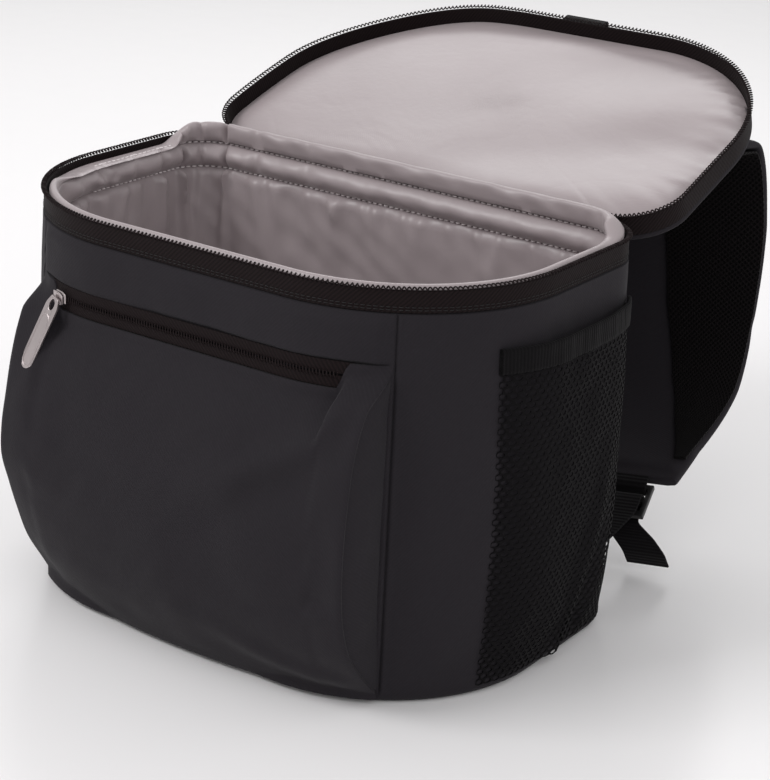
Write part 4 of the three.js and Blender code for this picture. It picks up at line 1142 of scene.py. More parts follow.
def roll_weight(x, y):
    """How strongly the padded rolls stand out: from the front left corner, at the right only at the back."""
    start = np.where(x < 0, -RIM_DEPTH * 0.27, RIM_DEPTH * 0.24)
    full = np.where(x < 0, -RIM_DEPTH * 0.16, RIM_DEPTH * 0.4)
    return smooth(y, start, full)


def scattered_folds(at, drop, path, kind):
    """Hanging folds below a stitch line: narrow and sharp at the line, wider and softer lower down."""
    row = SCATTERED_FOLDS[kind]
    random = np.random.RandomState(row["seed"])
    total = np.zeros(np.broadcast(at, drop).shape)
    place = 0
    while place < path["length"]:
        width = random.uniform(1.6, 3.4) * MM
        size = row["depth"] * MM * random.uniform(0.35, 1)
        fall = row["reach"] * MM * random.uniform(0.4, 1.4)
        slant = random.uniform(-0.35, 0.35)
        spread = width * (1 + drop / (14 * MM))
        total += size * np.exp(-(((at - place - slant * drop) / spread) ** 2)) * np.exp(-drop / fall)
        place += row["spacing"] * MM * random.uniform(0.5, 1.6)
    return total


def gather_folds(at, drop, path):
    """The deep gathers near the back left corner."""
    start = path["corners"] - distance_at_y(path, -RIM_DEPTH * 0.2)
    end = path["corners"] + RIM_WIDTH * 0.22
    total = 0
    for fold in GATHERS:
        place = start + (end - start) * fold["place"]
        spread = fold["width"] * MM * (0.55 + np.maximum(0, drop) / (38 * MM))
        lean = fold["slant"] * drop
        fading = np.exp(-np.abs(drop) / (60 * MM))
        total = total + fold["depth"] * MM * hump(at, place + lean, spread) * fading
    return total


def lining_profile(at, path):
    """Rings of the lining's inner side, from its top edge over the two rolls and down to the floor."""
    x, y, _, _ = along(path, at)
    weight = roll_weight(x, y)
    wall, stuffing = sizes().liner_wall, sizes().roll_swell
    lowered = smooth(-x, RIM_WIDTH * 0.36, RIM_WIDTH * 0.46) * smooth(-y, -RIM_DEPTH * 0.4, -RIM_DEPTH * 0.28)
    lowered = lowered * smooth(y, -RIM_DEPTH * 0.34, -RIM_DEPTH * 0.12)
    raised = smooth(y, RIM_DEPTH * 0.3, RIM_DEPTH * 0.42)
    top = RIM_TOP - 0.2 * MM + (sizes().roll_rise + 0.6 * MM) * raised - 5.4 * MM * lowered * (1 - raised)
    upper = RIM_TOP - sizes().upper_stitch
    lower = RIM_TOP - sizes().lower_stitch
    right_end = distance_at_y(path, RIM_DEPTH * 0.3)
    crumple = hump(at, right_end, 16 * MM) + 0.8 * hump(at, path["corners"] - distance_at_y(path, 0), 20 * MM)
    rings = []

    def ring(inset, z):
        return ring_at(path, at, swell_at(z) - inset, z)

    for angle in np.radians(np.linspace(12, 176, 15)):
        z = upper + (top - upper) * np.sin(angle) ** 0.75
        lean = (1 - math.cos(angle)) / 2
        belly = max(0, math.sin(angle - 0.5)) ** 0.8
        crease = scattered_folds(at, np.abs(z - upper), path, "upper roll")
        gathers = gather_folds(at, np.full_like(at, 4 * MM), path)
        rough = 0.5 * MM * ripple(at, z * 2, 18 * MM, 41) + 1.5 * MM * crumple * ripple(at, z, 8 * MM, 42)
        inset = LINER_INSET + wall * lean + stuffing * 0.75 * weight * belly
        soft = belly * weight * (rough - crease * 0.8 - gathers * 0.9)
        rings.append(ring(inset + soft, z + 0.6 * soft))
    rings.append(ring(LINER_INSET + wall - 0.5 * MM, upper + 0.3 * MM))
    rings.append(ring(LINER_INSET + wall - 0.9 * MM, upper - 0.2 * MM))
    for way in np.linspace(0.05, 0.95, 15):
        z = upper + (lower - upper) * way
        belly = math.sin(math.pi * way) ** 0.7
        near = min(way, 1 - way) * (upper - lower)
        crease = scattered_folds(at, near, path, "lower roll")
        gathers = gather_folds(at, np.full_like(at, near), path)
        rough = 0.6 * MM * ripple(at, z * 1.5, 20 * MM, 43) + 1.8 * MM * crumple * ripple(at, z, 9 * MM, 44)
        inset = LINER_INSET + wall + stuffing * 0.8 * weight * belly
        rings.append(ring(inset + belly * weight * (rough - crease * 0.8 - gathers), np.full_like(at, z)))
    rings.append(ring(LINER_INSET + wall - 0.6 * MM, lower + 0.2 * MM))
    rings.append(ring(LINER_INSET + wall - 0.9 * MM, lower - 0.3 * MM))
    for way in np.linspace(0.012, 1, 60) ** 1.15:
        z = lower + (LINING_FOOT - lower) * way
        drop = lower - z
        start = smooth(drop, 0, 5 * MM)
        folds = scattered_folds(at, drop, path, "wall")
        gathers = gather_folds(at, drop, path)
        soft = 1.6 * MM * ripple(at, z * 0.45, 46 * MM, 45) + 0.5 * MM * ripple(at, z, 16 * MM, 46)
        inset = LINER_INSET + wall + (2.2 * MM + soft) * start
        inset = inset + (0.35 + 0.65 * weight) * (folds + gathers * 1.1) * smooth(drop, 0, 3 * MM)
        rings.append(ring(inset, np.full_like(at, z)))
    for angle in np.radians((30, 60, 90)):
        inset = LINER_INSET + wall + (4 + 7 * (1 - math.cos(angle))) * MM
        rings.append(ring(inset, LINING_FOOT - 6 * MM * math.sin(angle)))
    floor = rings[-1]
    centre = floor.mean(axis=0)
    for share in (0.85, 0.65, 0.45, 0.25, 0.1):
        level = floor * share + centre * (1 - share)
        level[:, 2] += 1.2 * MM * ripple(level[:, 0], level[:, 1], 50 * MM, 47) * share
        rings.append(level)
    return rings


def stitch_line(path, at, inset, z):
    """A line of points on the lining with the ways it faces."""
    _, _, nx, ny = along(path, at)
    line = ring_at(path, at, swell_at(z) - inset, z)
    return line, np.stack((-nx, -ny, np.zeros_like(nx)), axis=-1)


def lining_cup():
    path = plan(RIM_WIDTH, RIM_DEPTH)
    at = wrap_stations(path, 1.7 * MM)
    low = 9.3 * MM
    outside = [
        ring_at(path, at, -LINER_INSET - 2.8 * MM, 4.3 * MM),
        ring_at(path, at, swell_at(low) - LINER_INSET - GAP, low),
    ]
    for z in np.linspace(40 * MM, SHELL_TOP, 5):
        outside.append(ring_at(path, at, swell_at(z) - LINER_INSET, z))
    outside.append(ring_at(path, at, -LINER_INSET, RIM_TOP - sizes().upper_stitch))
    piece = loft("lining_cup", outside + lining_profile(at, path))
    finish_piece(piece, "Silver satin", nodes=["liner"], angle=60)

    wall = sizes().liner_wall
    left_end = path["corners"] - distance_at_y(path, -RIM_DEPTH * 0.05)
    right_end = path["length"] + distance_at_y(path, RIM_DEPTH * 0.33)
    run = np.arange(left_end, right_end, 1.5 * MM)
    runs = [
        stitch_line(path, run, LINER_INSET + wall + 0.5 * MM, RIM_TOP - sizes().upper_stitch),
        stitch_line(path, run, LINER_INSET + wall + 0.4 * MM, RIM_TOP - sizes().lower_stitch),
    ]
    stitches = stitch_run("lining_stitches", runs, sizes().stitch_length, LINING_THREAD)
    finish_piece(stitches, "Lining thread")


# Zips round the rim and the lid


def corner_band(name, path, low, high, inner, outer, bend=None):
    """A flat band that follows the outline between the two back corners, with soft edges."""
    at = np.linspace(0, path["corners"], 300)
    edge = min(0.4 * MM, (outer - inner) / 3)
    profile = [
        (inner, low + edge),
        (inner + edge, low),
        (outer - edge, low),
        (outer, low + edge),
        (outer, low + (high - low) * 0.34),
        (outer, low + (high - low) * 0.67),
        (outer, high - edge),
        (outer - edge, high),
        (inner + edge, high),
        (inner, high - edge),
    ]
    rings = np.stack([ring_at(path, at, reach, z) for reach, z in profile], axis=1)
    if bend is not None:
        rings = bend(rings)
    return loft(name, rings)


def coil_line(path, low, high, bend=None):
    """The centreline of a zip's spiral loops along the outline."""
    turns = int(path["corners"] / sizes().tooth_pitch)
    turn = np.linspace(0, turns, turns * COIL_POINTS)
    at = turn / turns * path["corners"]
    x, y, nx, ny = along(path, at)
    out = COIL_REACH * np.cos(turn * 2 * math.pi)
    z = (low + high) / 2 + (high - low) / 2 * np.sin(turn * 2 * math.pi)
    line = np.stack((x + nx * out, y + ny * out, z), axis=-1)
    return line if bend is None else bend(line)


def rim_zip():
    path = plan(RIM_WIDTH, RIM_DEPTH)
    tape_low, tape_high = SHELL_TOP + GAP, TAPE_HIGH.z
    tape = corner_band("rim_tape", path, tape_low, tape_high, -TAPE_WALL, 0)
    finish_piece(tape, "Zip tape", nodes=["rim_zip_tape"])
    line = coil_line(path, tape_high + COIL_WIRE, RIM_TOP - COIL_WIRE * 0.4)
    coil = tube("rim_coil", line, COIL_WIRE, COIL_SIDES)
    finish_piece(coil, "Zip coil", nodes=["rim_zip_coil"])

    at = np.arange(0, path["corners"], 1.5 * MM)
    _, _, nx, ny = along(path, at)
    outward = np.stack((nx, ny, np.zeros_like(nx)), axis=-1)
    runs = [(ring_at(path, at, 0.05 * MM, tape_low + height), outward) for height in (1.6 * MM, 3 * MM)]
    stitches = stitch_run("rim_stitches", runs, TAPE_STITCH, TAPE_THREAD)
    finish_piece(stitches, "Dark thread")


# The lid


def lid_placement():
    """From the lid as it is drawn closed to where it lies open."""
    depth = RIM_DEPTH - LID_PULL_IN
    hinge = Matrix.Translation((0, RIM_DEPTH / 2, RIM_TOP))
    turn = Matrix.Rotation(-sizes().lid_opening, 4, "X")
    back = Matrix.Translation((0, -depth / 2 - LID_MARGIN / 2, 0))
    return np.array(hinge @ turn @ back)


def lid_depth():
    return RIM_DEPTH - LID_PULL_IN - LID_MARGIN


def opened(points):
    """Points drawn on the closed lid, with the hanging corner, moved to the open lid."""
    points = np.array(points, float)
    aside = smooth(-points[..., 0] / (RIM_WIDTH / 2), 0.2, 1)
    away = smooth(0.5 - points[..., 1] / lid_depth(), 0.2, 1)
    points[..., 2] += sizes().lid_sag * aside * away
    matrix = lid_placement()
    return points @ matrix[:3, :3].T + matrix[:3, 3]


def disc_ring(path, at, inset, share):
    """A ring inside the lid's edge, that share of the way to its middle."""
    return ring_at(path, at, -inset, 0) * (1 - share)


def lid_lining():
    path = plan(RIM_WIDTH, lid_depth())
    at = wrap_stations(path, 2.4 * MM)
    back = LID_LOW - GAP
    face = back - LID_LINING_WALL
    inset = TAPE_WALL + GAP
    x, y, _, _ = along(path, at)
    rings = [ring_at(path, at, -inset - 20 * MM, back), ring_at(path, at, -inset, back)]
    right = smooth(x, RIM_WIDTH * 0.3, RIM_WIDTH * 0.44) + 0.06
    for share in LID_LEVELS:
        ring = disc_ring(path, at, inset, share)
        distance = share * np.hypot(x, y)
        puff = sizes().lining_puff * np.sin(math.pi / 2 * np.clip(distance / (26 * MM), 0, 1))
        folds = scattered_folds(at, distance + 1e-6, path, "lid")
        slope = ring[:, 0] * 0.55 + ring[:, 1]
        wave = np.sin(slope / (15 * MM) + 1.6 * ripple(ring[:, 0], ring[:, 1], 130 * MM, 52))
        broad = 1.5 * MM * wave * smooth(ring[:, 0], -RIM_WIDTH * 0.2, RIM_WIDTH * 0.35)
        soft = 0.9 * MM * ripple(ring[:, 0], ring[:, 1], 90 * MM, 53) + broad
        free = smooth(distance, 0, 12 * MM)
        ring[:, 2] = face - puff - free * soft - folds * right * smooth(distance, 0, 2 * MM)
        rings.append(ring)
    piece = loft("lid_satin", opened(rings))
    finish_piece(piece, "Silver satin", nodes=["lid_lining"], angle=60)


def lid_panel():
    path = plan(RIM_WIDTH, lid_depth())
    at = wrap_stations(path, 3 * MM)
    x, y, _, _ = along(path, at)
    rings = [ring_at(path, at, -25 * MM, LID_LOW), ring_at(path, at, -0.6 * MM, LID_LOW)]
    for angle in np.radians((0, 30, 60, 90)):
        height = LID_LOW + 1.4 * MM + 1.2 * MM * math.sin(angle)
        rings.append(ring_at(path, at, -0.8 * MM * (1 - math.cos(angle)), height))
    for share in LID_LEVELS[1:]:
        ring = disc_ring(path, at, 1 * MM, share)
        distance = share * np.hypot(x, y)
        soft = 0.55 * MM * ripple(ring[:, 0], ring[:, 1], 70 * MM, 61) * smooth(distance, 2 * MM, 25 * MM)
        seam = -0.9 * MM * hump(distance, 7 * MM, 1.1 * MM)
        ring[:, 2] = LID_LOW + LID_PANEL_WALL - 0.3 * MM + soft + seam
        rings.append(ring)
    piece = loft("lid_cloth", opened(rings))
    finish_piece(piece, "Charcoal cloth", nodes=["lid_panel"])


def lid_zip():
    path = plan(RIM_WIDTH, lid_depth())
    low = COIL_HEIGHT
    tape = corner_band("lid_tape", path, low, low + TAPE_HEIGHT, -TAPE_WALL, 0, opened)
    finish_piece(tape, "Zip tape", nodes=["lid_zip_tape"])
    line = coil_line(path, COIL_WIRE * 0.4, low - GAP - COIL_WIRE, opened)
    coil = tube("lid_coil", line, COIL_WIRE, COIL_SIDES)
    finish_piece(coil, "Zip coil", nodes=["lid_zip_coil"])


def lid_loop():
    """The folded webbing loop at the lid's far edge."""
    middle = COIL_HEIGHT + TAPE_HEIGHT / 2
    start = -lid_depth() / 2 - GAP
    turn = LOOP_WALL * 1.4
    fold = np.radians(np.linspace(0, 180, 9))
    y = np.concatenate(((start,), start - LOOP_REACH + turn - turn * np.sin(fold), (start,)))
    z = np.concatenate(((middle + turn,), middle + turn * np.cos(fold), (middle - turn,)))
    line = np.stack((np.zeros_like(y), y, z), axis=1)
    piece = strip("lid_loop", line, (1, 0, 0), LOOP_WIDTH, LOOP_WALL, opened)
    finish_piece(piece, "Webbing", nodes=["lid_pull_loop"])


def strip(name, line, wide, width, wall, bend=None):
    """Webbing along a line of points: rounded edges, as wide as asked."""
    line = np.asarray(line, float)
    distance = np.concatenate(((0,), np.cumsum(np.linalg.norm(np.diff(line, axis=0), axis=1))))
    at = np.linspace(0, distance[-1], max(4, round(distance[-1] / (1.5 * MM))))
    fine = np.stack([np.interp(at, distance, line[:, i]) for i in range(3)], axis=1)
    for _ in range(2):
        fine[1:-1] = fine[1:-1] * 0.5 + (fine[:-2] + fine[2:]) * 0.25
    wide = np.broadcast_to(np.asarray(wide, float), fine.shape)
    wide = wide / np.linalg.norm(wide, axis=1)[:, None]
    normal = np.cross(np.gradient(fine, axis=0), wide)
    normal /= np.linalg.norm(normal, axis=1)[:, None]
    half, edge = width / 2, min(wall, width) * 0.3
    profile = [(-half, 0), (-half + edge, -1), (-half / 3, -1), (half / 3, -1), (half - edge, -1), (half, 0)]
    profile += [(half - edge, 1), (half / 3, 1), (-half / 3, 1), (-half + edge, 1)]
    rings = np.stack([fine + wide * across + normal * side * wall / 2 for across, side in profile], axis=1)
    return loft(name, rings if bend is None else bend(rings))


def hinge_cloth():
    """The cloth from the back wall over the hinge line to the lid."""
    tilt = math.pi - sizes().lid_opening
    wall = HINGE_WALL
    hinge_y = RIM_DEPTH / 2

    def on_lid(reach, below):
        return (
            0,
            hinge_y + reach * math.cos(tilt) + below * math.sin(tilt),
            RIM_TOP + reach * math.sin(tilt) - below * math.cos(tilt),
        )

    wall_y = hinge_y - wall / 2
    line = [
        (0, wall_y, SHELL_TOP + GAP),
        (0, wall_y, RIM_TOP - wall),
        (0, (wall_y + on_lid(wall, 0)[1]) / 2, RIM_TOP + wall / 2),
        on_lid(wall, wall),
        on_lid(wall, TAPE_HEIGHT + 1.8 * MM),
    ]
    width = RIM_WIDTH - 2 * sizes().back_corner - 6 * MM
    piece = strip("hinge_cloth", line, (1, 0, 0), width, wall)
    finish_piece(piece, "Hinge cloth", nodes=["hinge_strip"])


# The front pocket


def pocket_top(x):
    """The pocket's upper edge: below the zip, and up to the zip's own seam past its slanted ends."""
    x = np.asarray(x)
    past_right = smooth(x, ZIP_RIGHT - 4 * MM, ZIP_RIGHT + 2 * MM)
    past_left = smooth(-x, -ZIP_LEFT - 8 * MM, -ZIP_LEFT + 1 * MM)
    return zip_height(x) + ZIP_WINDOW / 2 * (2 * (past_right + past_left) - 1) - GAP


def zip_height(x):
    """The middle of the pocket zip at x, on the line that the frame's zip tape takes."""
    return ZIP_MIDDLE - ZIP_SLOPE * np.asarray(x)


def pocket_face(x, share):
    x, share = np.broadcast_arrays(np.asarray(x, float), np.asarray(share, float))
    z = POCKET_FOOT + (pocket_top(x) - POCKET_FOOT) * share
    left = read_table(POCKET_SECTIONS, "left", share)
    right = read_table(POCKET_SECTIONS, "right", share)
    centre = read_table(POCKET_SECTIONS, "middle", share)
    middle = front_place(0, z, 0)[..., 1] - sizes().pocket_middle * centre
    side_share = smooth(x, -0.3 * SEAM_X, 0.3 * SEAM_X)
    sides = left * (1 - side_share) + right * side_share
    edge = front_place(SEAM_X, z, 0)[..., 1] - sizes().pocket_depth * sides
    roundness = 1 - np.abs(x / SEAM_X) ** 2.4
    sewn = smooth(np.abs(x), SEAM_X - 14 * MM, SEAM_X - 1 * MM) * smooth(share, 0.8, 0.95)
    seat = front_place(x, z, (GAP + POCKET_WALL) * (1 - 0.85 * sewn))[..., 1]
    tucked = smooth(share, 0.9, 1)
    face = np.minimum(edge + (middle - edge) * roundness, seat) * (1 - tucked) + seat * tucked
    return np.stack((x, face, z), axis=-1)


def pocket_folds(x, share):
    """Soft drapes of the pocket's cloth, towards the viewer."""
    z = share * (ZIP_MIDDLE - POCKET_FOOT)
    inside = smooth(SEAM_X - np.abs(x), 0, 14 * MM) * smooth(share, 0, 0.08) * smooth(1 - share, 0, 0.1)
    total = 1.6 * MM * hump(x, -82 * MM, 14 * MM) * hump(share, 0.6, 0.3)
    for row in POCKET_DRAPES:
        level = z - row["slope"] * (x - row["x"] * MM)
        fading = smooth(x, row["from"] * MM, row["to"] * MM)
        total = total + row["depth"] * MM * hump(level, row["z"] * MM, row["width"] * MM) * fading
    soft = 1.1 * MM * ripple(x, z, 58 * MM, 71) + 0.25 * MM * ripple(x, z, 20 * MM, 72)
    return inside * (total + soft)


def front_pocket():
    x = np.linspace(-SEAM_X, SEAM_X, 121)
    share = np.concatenate((np.linspace(0, 0.06, 7), np.linspace(0.075, 0.98, 76), (1,)))
    across, up = np.meshgrid(x, share)
    points = pocket_face(across, up)
    points[..., 1] -= pocket_folds(across, up)
    points[..., 1] += 0.8 * MM * hump(SEAM_X - np.abs(across), 0, 1.2 * MM)
    piece = loft("pocket_cloth", points, wrap=False, centre=(0, 0, 0.1))
    give_wall(piece, POCKET_WALL)
    softened(piece, 0.7 * MM, 2, 50)
    finish_piece(piece, "Charcoal cloth", nodes=["front_pocket_panel"])
    for name, side in SIDES.items():
        pocket_side(f"pocket_side_{name}", f"pocket_gusset_{name}", side)


def pocket_side(name, node, side):
    """The lens-shaped side between the pocket's edge and the seam, bowed out a little."""
    share = np.linspace(0.03, 0.97, 70)
    face = pocket_face(side * (SEAM_X - GUSSET_WALL / 2), share)
    front = face[:, 1] + POCKET_WALL
    back = front_place(SEAM_X - GUSSET_WALL, face[:, 2], -1.4 * MM)[:, 1]
    rows = []
    for way in np.linspace(0, 1, 15):
        y = front + (back - front) * way
        bow = (2.6 * math.sin(math.pi * way) - 1.6 * (1 - way)) * MM * np.sin(math.pi * (share - 0.03) / 0.94)
        soft = 0.5 * MM * ripple(y, face[:, 2], 26 * MM, 81) * math.sin(math.pi * way)
        rows.append(np.stack((side * (SEAM_X - 0.8 * MM + bow + soft), y, face[:, 2]), axis=-1))
    piece = loft(name, rows, wrap=False, centre=(0, 0, 0.1))
    give_wall(piece, GUSSET_WALL)
    finish_piece(piece, "Charcoal cloth", nodes=[node])


def zip_strip(name, low, high, far):
    """A strip along the pocket zip between two heights off its middle line, ends slanted with the window."""
    x = np.linspace(ZIP_LEFT, ZIP_RIGHT, 150)
    z = zip_height(x)
    edge = 0.2 * MM
    profile = [(low, GAP), (low, far - edge), (low + edge, far), ((low + high) / 2, far + edge / 2)]
    profile += [(high - edge, far), (high, far - edge), (high, GAP)]
    rings = np.stack([front_place(x + up * 0.4 * x / ZIP_RIGHT, z + up, off) for up, off in profile], axis=1)
    return loft(name, rings)


def pocket_zip():
    half = ZIP_WINDOW / 2
    face = GAP + ZIP_TAPE_WALL
    halves = [
        zip_strip("pocket_tape_low", -half, -0.5 * MM, face),
        zip_strip("pocket_tape_high", 0.5 * MM, half, face),
    ]
    tape = joined("pocket_tape", halves)
    finish_piece(tape, "Zip tape", nodes=["pocket_zip_tape"])

    pitch = sizes().small_tooth_pitch
    turns = int((ZIP_RIGHT - ZIP_LEFT - 4 * MM) / pitch)
    turn = np.linspace(0, turns, turns * COIL_POINTS)
    x = ZIP_LEFT + 2 * MM + turn * pitch
    rise = SMALL_COIL_RISE * np.cos(turn * 2 * math.pi)
    off = face + 0.55 * MM + SMALL_COIL_REACH * np.sin(turn * 2 * math.pi)
    coil = tube("pocket_coil", front_place(x, zip_height(x) + rise, off), SMALL_COIL_WIRE, COIL_SIDES)
    finish_piece(coil, "Zip coil", nodes=["pocket_zip_coil"])


# Hard pieces, started from primitives


def clear_selection(piece):
    for group in (piece.data.polygons, piece.data.edges, piece.data.vertices):
        for element in group:
            element.select = False


def choose_vertices(piece, test):
    """Selects the vertices that pass the test, and returns in edit mode."""
    bpy.ops.object.mode_set(mode="OBJECT")
    clear_selection(piece)
    for vertex in piece.data.vertices:
        vertex.select = bool(test(vertex.co))
    bpy.ops.object.mode_set(mode="EDIT")
    bpy.ops.mesh.select_mode(type="VERT")


def primitive_block(name, centre, size):
    bpy.ops.object.select_all(action="DESELECT")
    bpy.ops.mesh.primitive_cube_add(size=1, location=centre)
    piece = bpy.context.object
    piece.name = name
    piece.scale = size
    bpy.ops.object.transform_apply(location=True, rotation=False, scale=True)
    return piece


def softened(piece, width, segments=2, angle=30):
    apply_modifier(
        piece, "BEVEL", width=width, segments=segments, limit_method="ANGLE", angle_limit=math.radians(angle)
    )
    return piece


def slider_body(name, size_x, depth, size_z):
    """A zip slider's body: two plates round a waist, with a flared mouth."""
    piece = primitive_block(name, (0, -depth / 2, 0), (size_x, depth, size_z))
    start_edit(piece)
    bpy.ops.mesh.select_all(action="SELECT")
    bpy.ops.mesh.subdivide(number_cuts=2)
    choose_vertices(piece, lambda co: co.x > size_x * 0.4)
    bpy.ops.transform.resize(value=(1, 1, 0.72))
    choose_vertices(piece, lambda co: abs(co.y + depth / 2) < depth * 0.2)
    bpy.ops.transform.resize(value=(0.9, 1, 0.84))
    end_edit()
    return softened(piece, 0.35 * MM, 3)


def slider_bail(radius, depth, wire):
    """The arch that the puller hangs in, spun from a small square."""
    bpy.ops.object.select_all(action="DESELECT")
    bpy.ops.mesh.primitive_plane_add(size=1, location=(0, 0, 0))
    piece = bpy.context.object
    piece.scale = (wire, wire, 1)
    piece.rotation_euler = (math.pi / 2, 0, 0)
    bpy.ops.object.transform_apply(location=True, rotation=True, scale=True)
    piece.data.transform(Matrix.Translation((0, -depth, -radius)) @ Matrix.Rotation(math.pi / 2, 4, "X"))
    start_edit(piece)
    bpy.ops.mesh.select_all(action="SELECT")
    bpy.ops.mesh.spin(steps=14, angle=-math.pi, center=(0, -depth, 0), axis=(1, 0, 0))
    bpy.ops.mesh.select_all(action="SELECT")
    bpy.ops.mesh.remove_doubles(threshold=1e-6)
    end_edit()
    make_consistent(piece)
    return piece


def main_slider():
    low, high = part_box("main_zip_slider")
    centre = (low + high) / 2
    size = high - low
    piece = slider_body("main_slider", size.x, size.y, size.z)
    turn = Matrix.Translation((centre.x, low.y, centre.z)) @ Matrix.Rotation(math.pi, 4, "Z")
    piece.data.transform(turn)
    finish_piece(piece, "Brushed metal", nodes=["main_zip_slider"], angle=30)


def slider_placement():
    x = ZIP_LEFT + SLIDER_INSET + SLIDER_LENGTH / 2
    coil_face = GAP + ZIP_TAPE_WALL + GAP + ZIP_COIL_WALL
    seat = front_place(x, zip_height(x), coil_face + GAP)
    centre_x = RIM_WIDTH / 2 - sizes().front_corner
    turn = math.asin((abs(x) - centre_x) / (sizes().front_corner + coil_face))
    return Matrix.Translation(Vector(seat.tolist())) @ Matrix.Rotation(-turn, 4, "Z")


def puller_placement():
    hang = Matrix.Translation((0, -SLIDER_THICKNESS - GAP - PULLER_THICKNESS * math.sqrt(0.5), 0))
    swing = Matrix.Rotation(PULLER_LEAN, 4, "Y") @ Matrix.Rotation(-PULLER_LIFT, 4, "X")
    return slider_placement() @ hang @ swing


def pocket_slider():
    body = slider_body("pocket_slider", SLIDER_LENGTH, SLIDER_THICKNESS, SLIDER_WIDTH)
    bail = slider_bail(BAIL_RADIUS, SLIDER_THICKNESS * 0.9, BAIL_WALL)
    softened(bail, 0.25 * MM)
    piece = joined("pocket_slider", [body, bail])
    piece.data.transform(slider_placement())
    finish_piece(piece, "Brushed metal", nodes=["pocket_zip_slider"], angle=30)


def pocket_puller():
    """A plate with an eye, bridged between two rings, made thick and softened."""
    half = PULLER_WIDTH / 2
    bar = PULLER_THICKNESS / 2
    foot = -PULLER_LENGTH + half
    rings = []
    for radius in (half, EYE_WIDTH / 2):
        bpy.ops.object.select_all(action="DESELECT")
        bpy.ops.mesh.primitive_circle_add(vertices=48, radius=radius, fill_type="NOTHING")
        rings.append(bpy.context.object)
    outer, eye = rings
    for vertex in outer.data.vertices:
        up = vertex.co.y / half
        square = max(abs(vertex.co.x) / half, abs(up), 0.1)
        if vertex.co.y < -1e-6:
            vertex.co.y += foot
        else:
            vertex.co.x *= 1 - PULLER_TAPER * up**2
            vertex.co.y = bar - PULLER_SHOULDER * (1 - up / square)
    for vertex in eye.data.vertices:
        vertex.co.y = vertex.co.y * EYE_LENGTH / EYE_WIDTH - bar - EYE_LENGTH / 2
    piece = joined("pocket_pull", [outer, eye])
    start_edit(piece)
    bpy.ops.mesh.select_all(action="SELECT")
    bpy.ops.mesh.bridge_edge_loops()
    bpy.ops.mesh.select_all(action="SELECT")
    bpy.ops.mesh.extrude_region_move(TRANSFORM_OT_translate={"value": (0, 0, PULLER_THICKNESS)})
    end_edit()
    make_consistent(piece)
    piece.data.transform(Matrix.Translation((0, 0, -PULLER_THICKNESS / 2)))
    softened(piece, 0.32 * MM, 3, 60)
    rim = np.linspace(0, 2 * math.pi, 60, endpoint=False)
    reach = half - BEAD_INSET
    face = np.full_like(rim, PULLER_THICKNESS / 2)
    border = np.stack((np.cos(rim) * reach, np.sin(rim) * reach, face), axis=1)
    border[:, 1] += np.where(border[:, 1] < 0, foot + 0.2 * MM, -bar - EYE_LENGTH - 3.2 * MM - half * 0.6)
    border = np.vstack((border, border[:1]))
    bead = tube("pull_bead", border, BEAD_WIRE, 8)
    piece = joined("pocket_pull", [piece, bead])
    piece.data.transform(puller_placement() @ Matrix.Rotation(math.pi / 2, 4, "X"))
    finish_piece(piece, "Brushed metal", body=PULLER, nodes=["pocket_zip_puller"], angle=30)


# The net pockets


def net_off(y, z):
    """How far the net stands off the body's side, with its folds."""
    way = (y - NET_FRONT) / (NET_BACK - NET_FRONT)
    share = (z - NET_FOOT) / (BAND_TOP - NET_FOOT)
    across = 1 - np.abs(2 * way - 1) ** 2.6
    sag = np.sin(math.pi * 5 * (way + 0.45 * share)) * across * np.maximum(0, 1 - share * 1.6)
    bulge = sizes().net_bulge * across * read_table(NET_SECTIONS, "bulge", share) + 1.6 * MM * sag * way
    low = smooth(1 - share, 0.15, 0.6)
    fold = 0
    for row in NET_FOLDS:
        fold = fold + row["depth"] * MM * hump(way - row["lean"] * share, row["place"], row["width"]) * low
    soft = 0.6 * MM * ripple(y, z, 26 * MM, 91)
    return GAP + np.maximum(0.2 * MM, bulge + (fold + soft) * across)


def net_cells():
    """Flat staggered holes over the pocket: points along and up, and the faces round each hole."""
    pitch, hole = sizes().net_pitch, sizes().net_hole
    stretch = NET_STRETCH
    rise = pitch * math.sqrt(3) / 2
    edge = pitch * 0.55
    corners = np.arange(12)
    angle = corners * math.pi / 6 + math.pi / 6
    reach = np.where(corners % 2 == 0, pitch / math.sqrt(3), pitch / 2)
    outer = np.stack((np.cos(angle), np.sin(angle)), axis=1) * reach[:, None]
    inner = np.stack((np.cos(angle), np.sin(angle)), axis=1) * hole / 2
    centres = []
    row = 0
    z = NET_FOOT + edge
    while z < BAND_FOOT + 2 * MM:
        y = (NET_FRONT + edge) / stretch + (pitch / 2 if row % 2 else 0)
        while y < (NET_BACK - edge) / stretch:
            centres.append((y, z))
            y += pitch
        z += rise
        row += 1
    centres = np.array(centres)
    rims = (centres[:, None] + outer[None]).reshape(-1, 2)
    holes = (centres[:, None] + inner[None]).reshape(-1, 2)
    rounded = np.round(rims / (0.05 * MM)).astype(np.int64)
    _, first, which = np.unique(rounded, axis=0, return_index=True, return_inverse=True)
    which = which.ravel()
    points = np.vstack((rims[first], holes)) * np.array((stretch, 1))
    start = len(first)
    faces = []
    for cell in range(len(centres)):
        for i in range(12):
            j = (i + 1) % 12
            a, b = which[cell * 12 + i], which[cell * 12 + j]
            faces.append((int(a), int(b), start + cell * 12 + j, start + cell * 12 + i))
    return points, faces


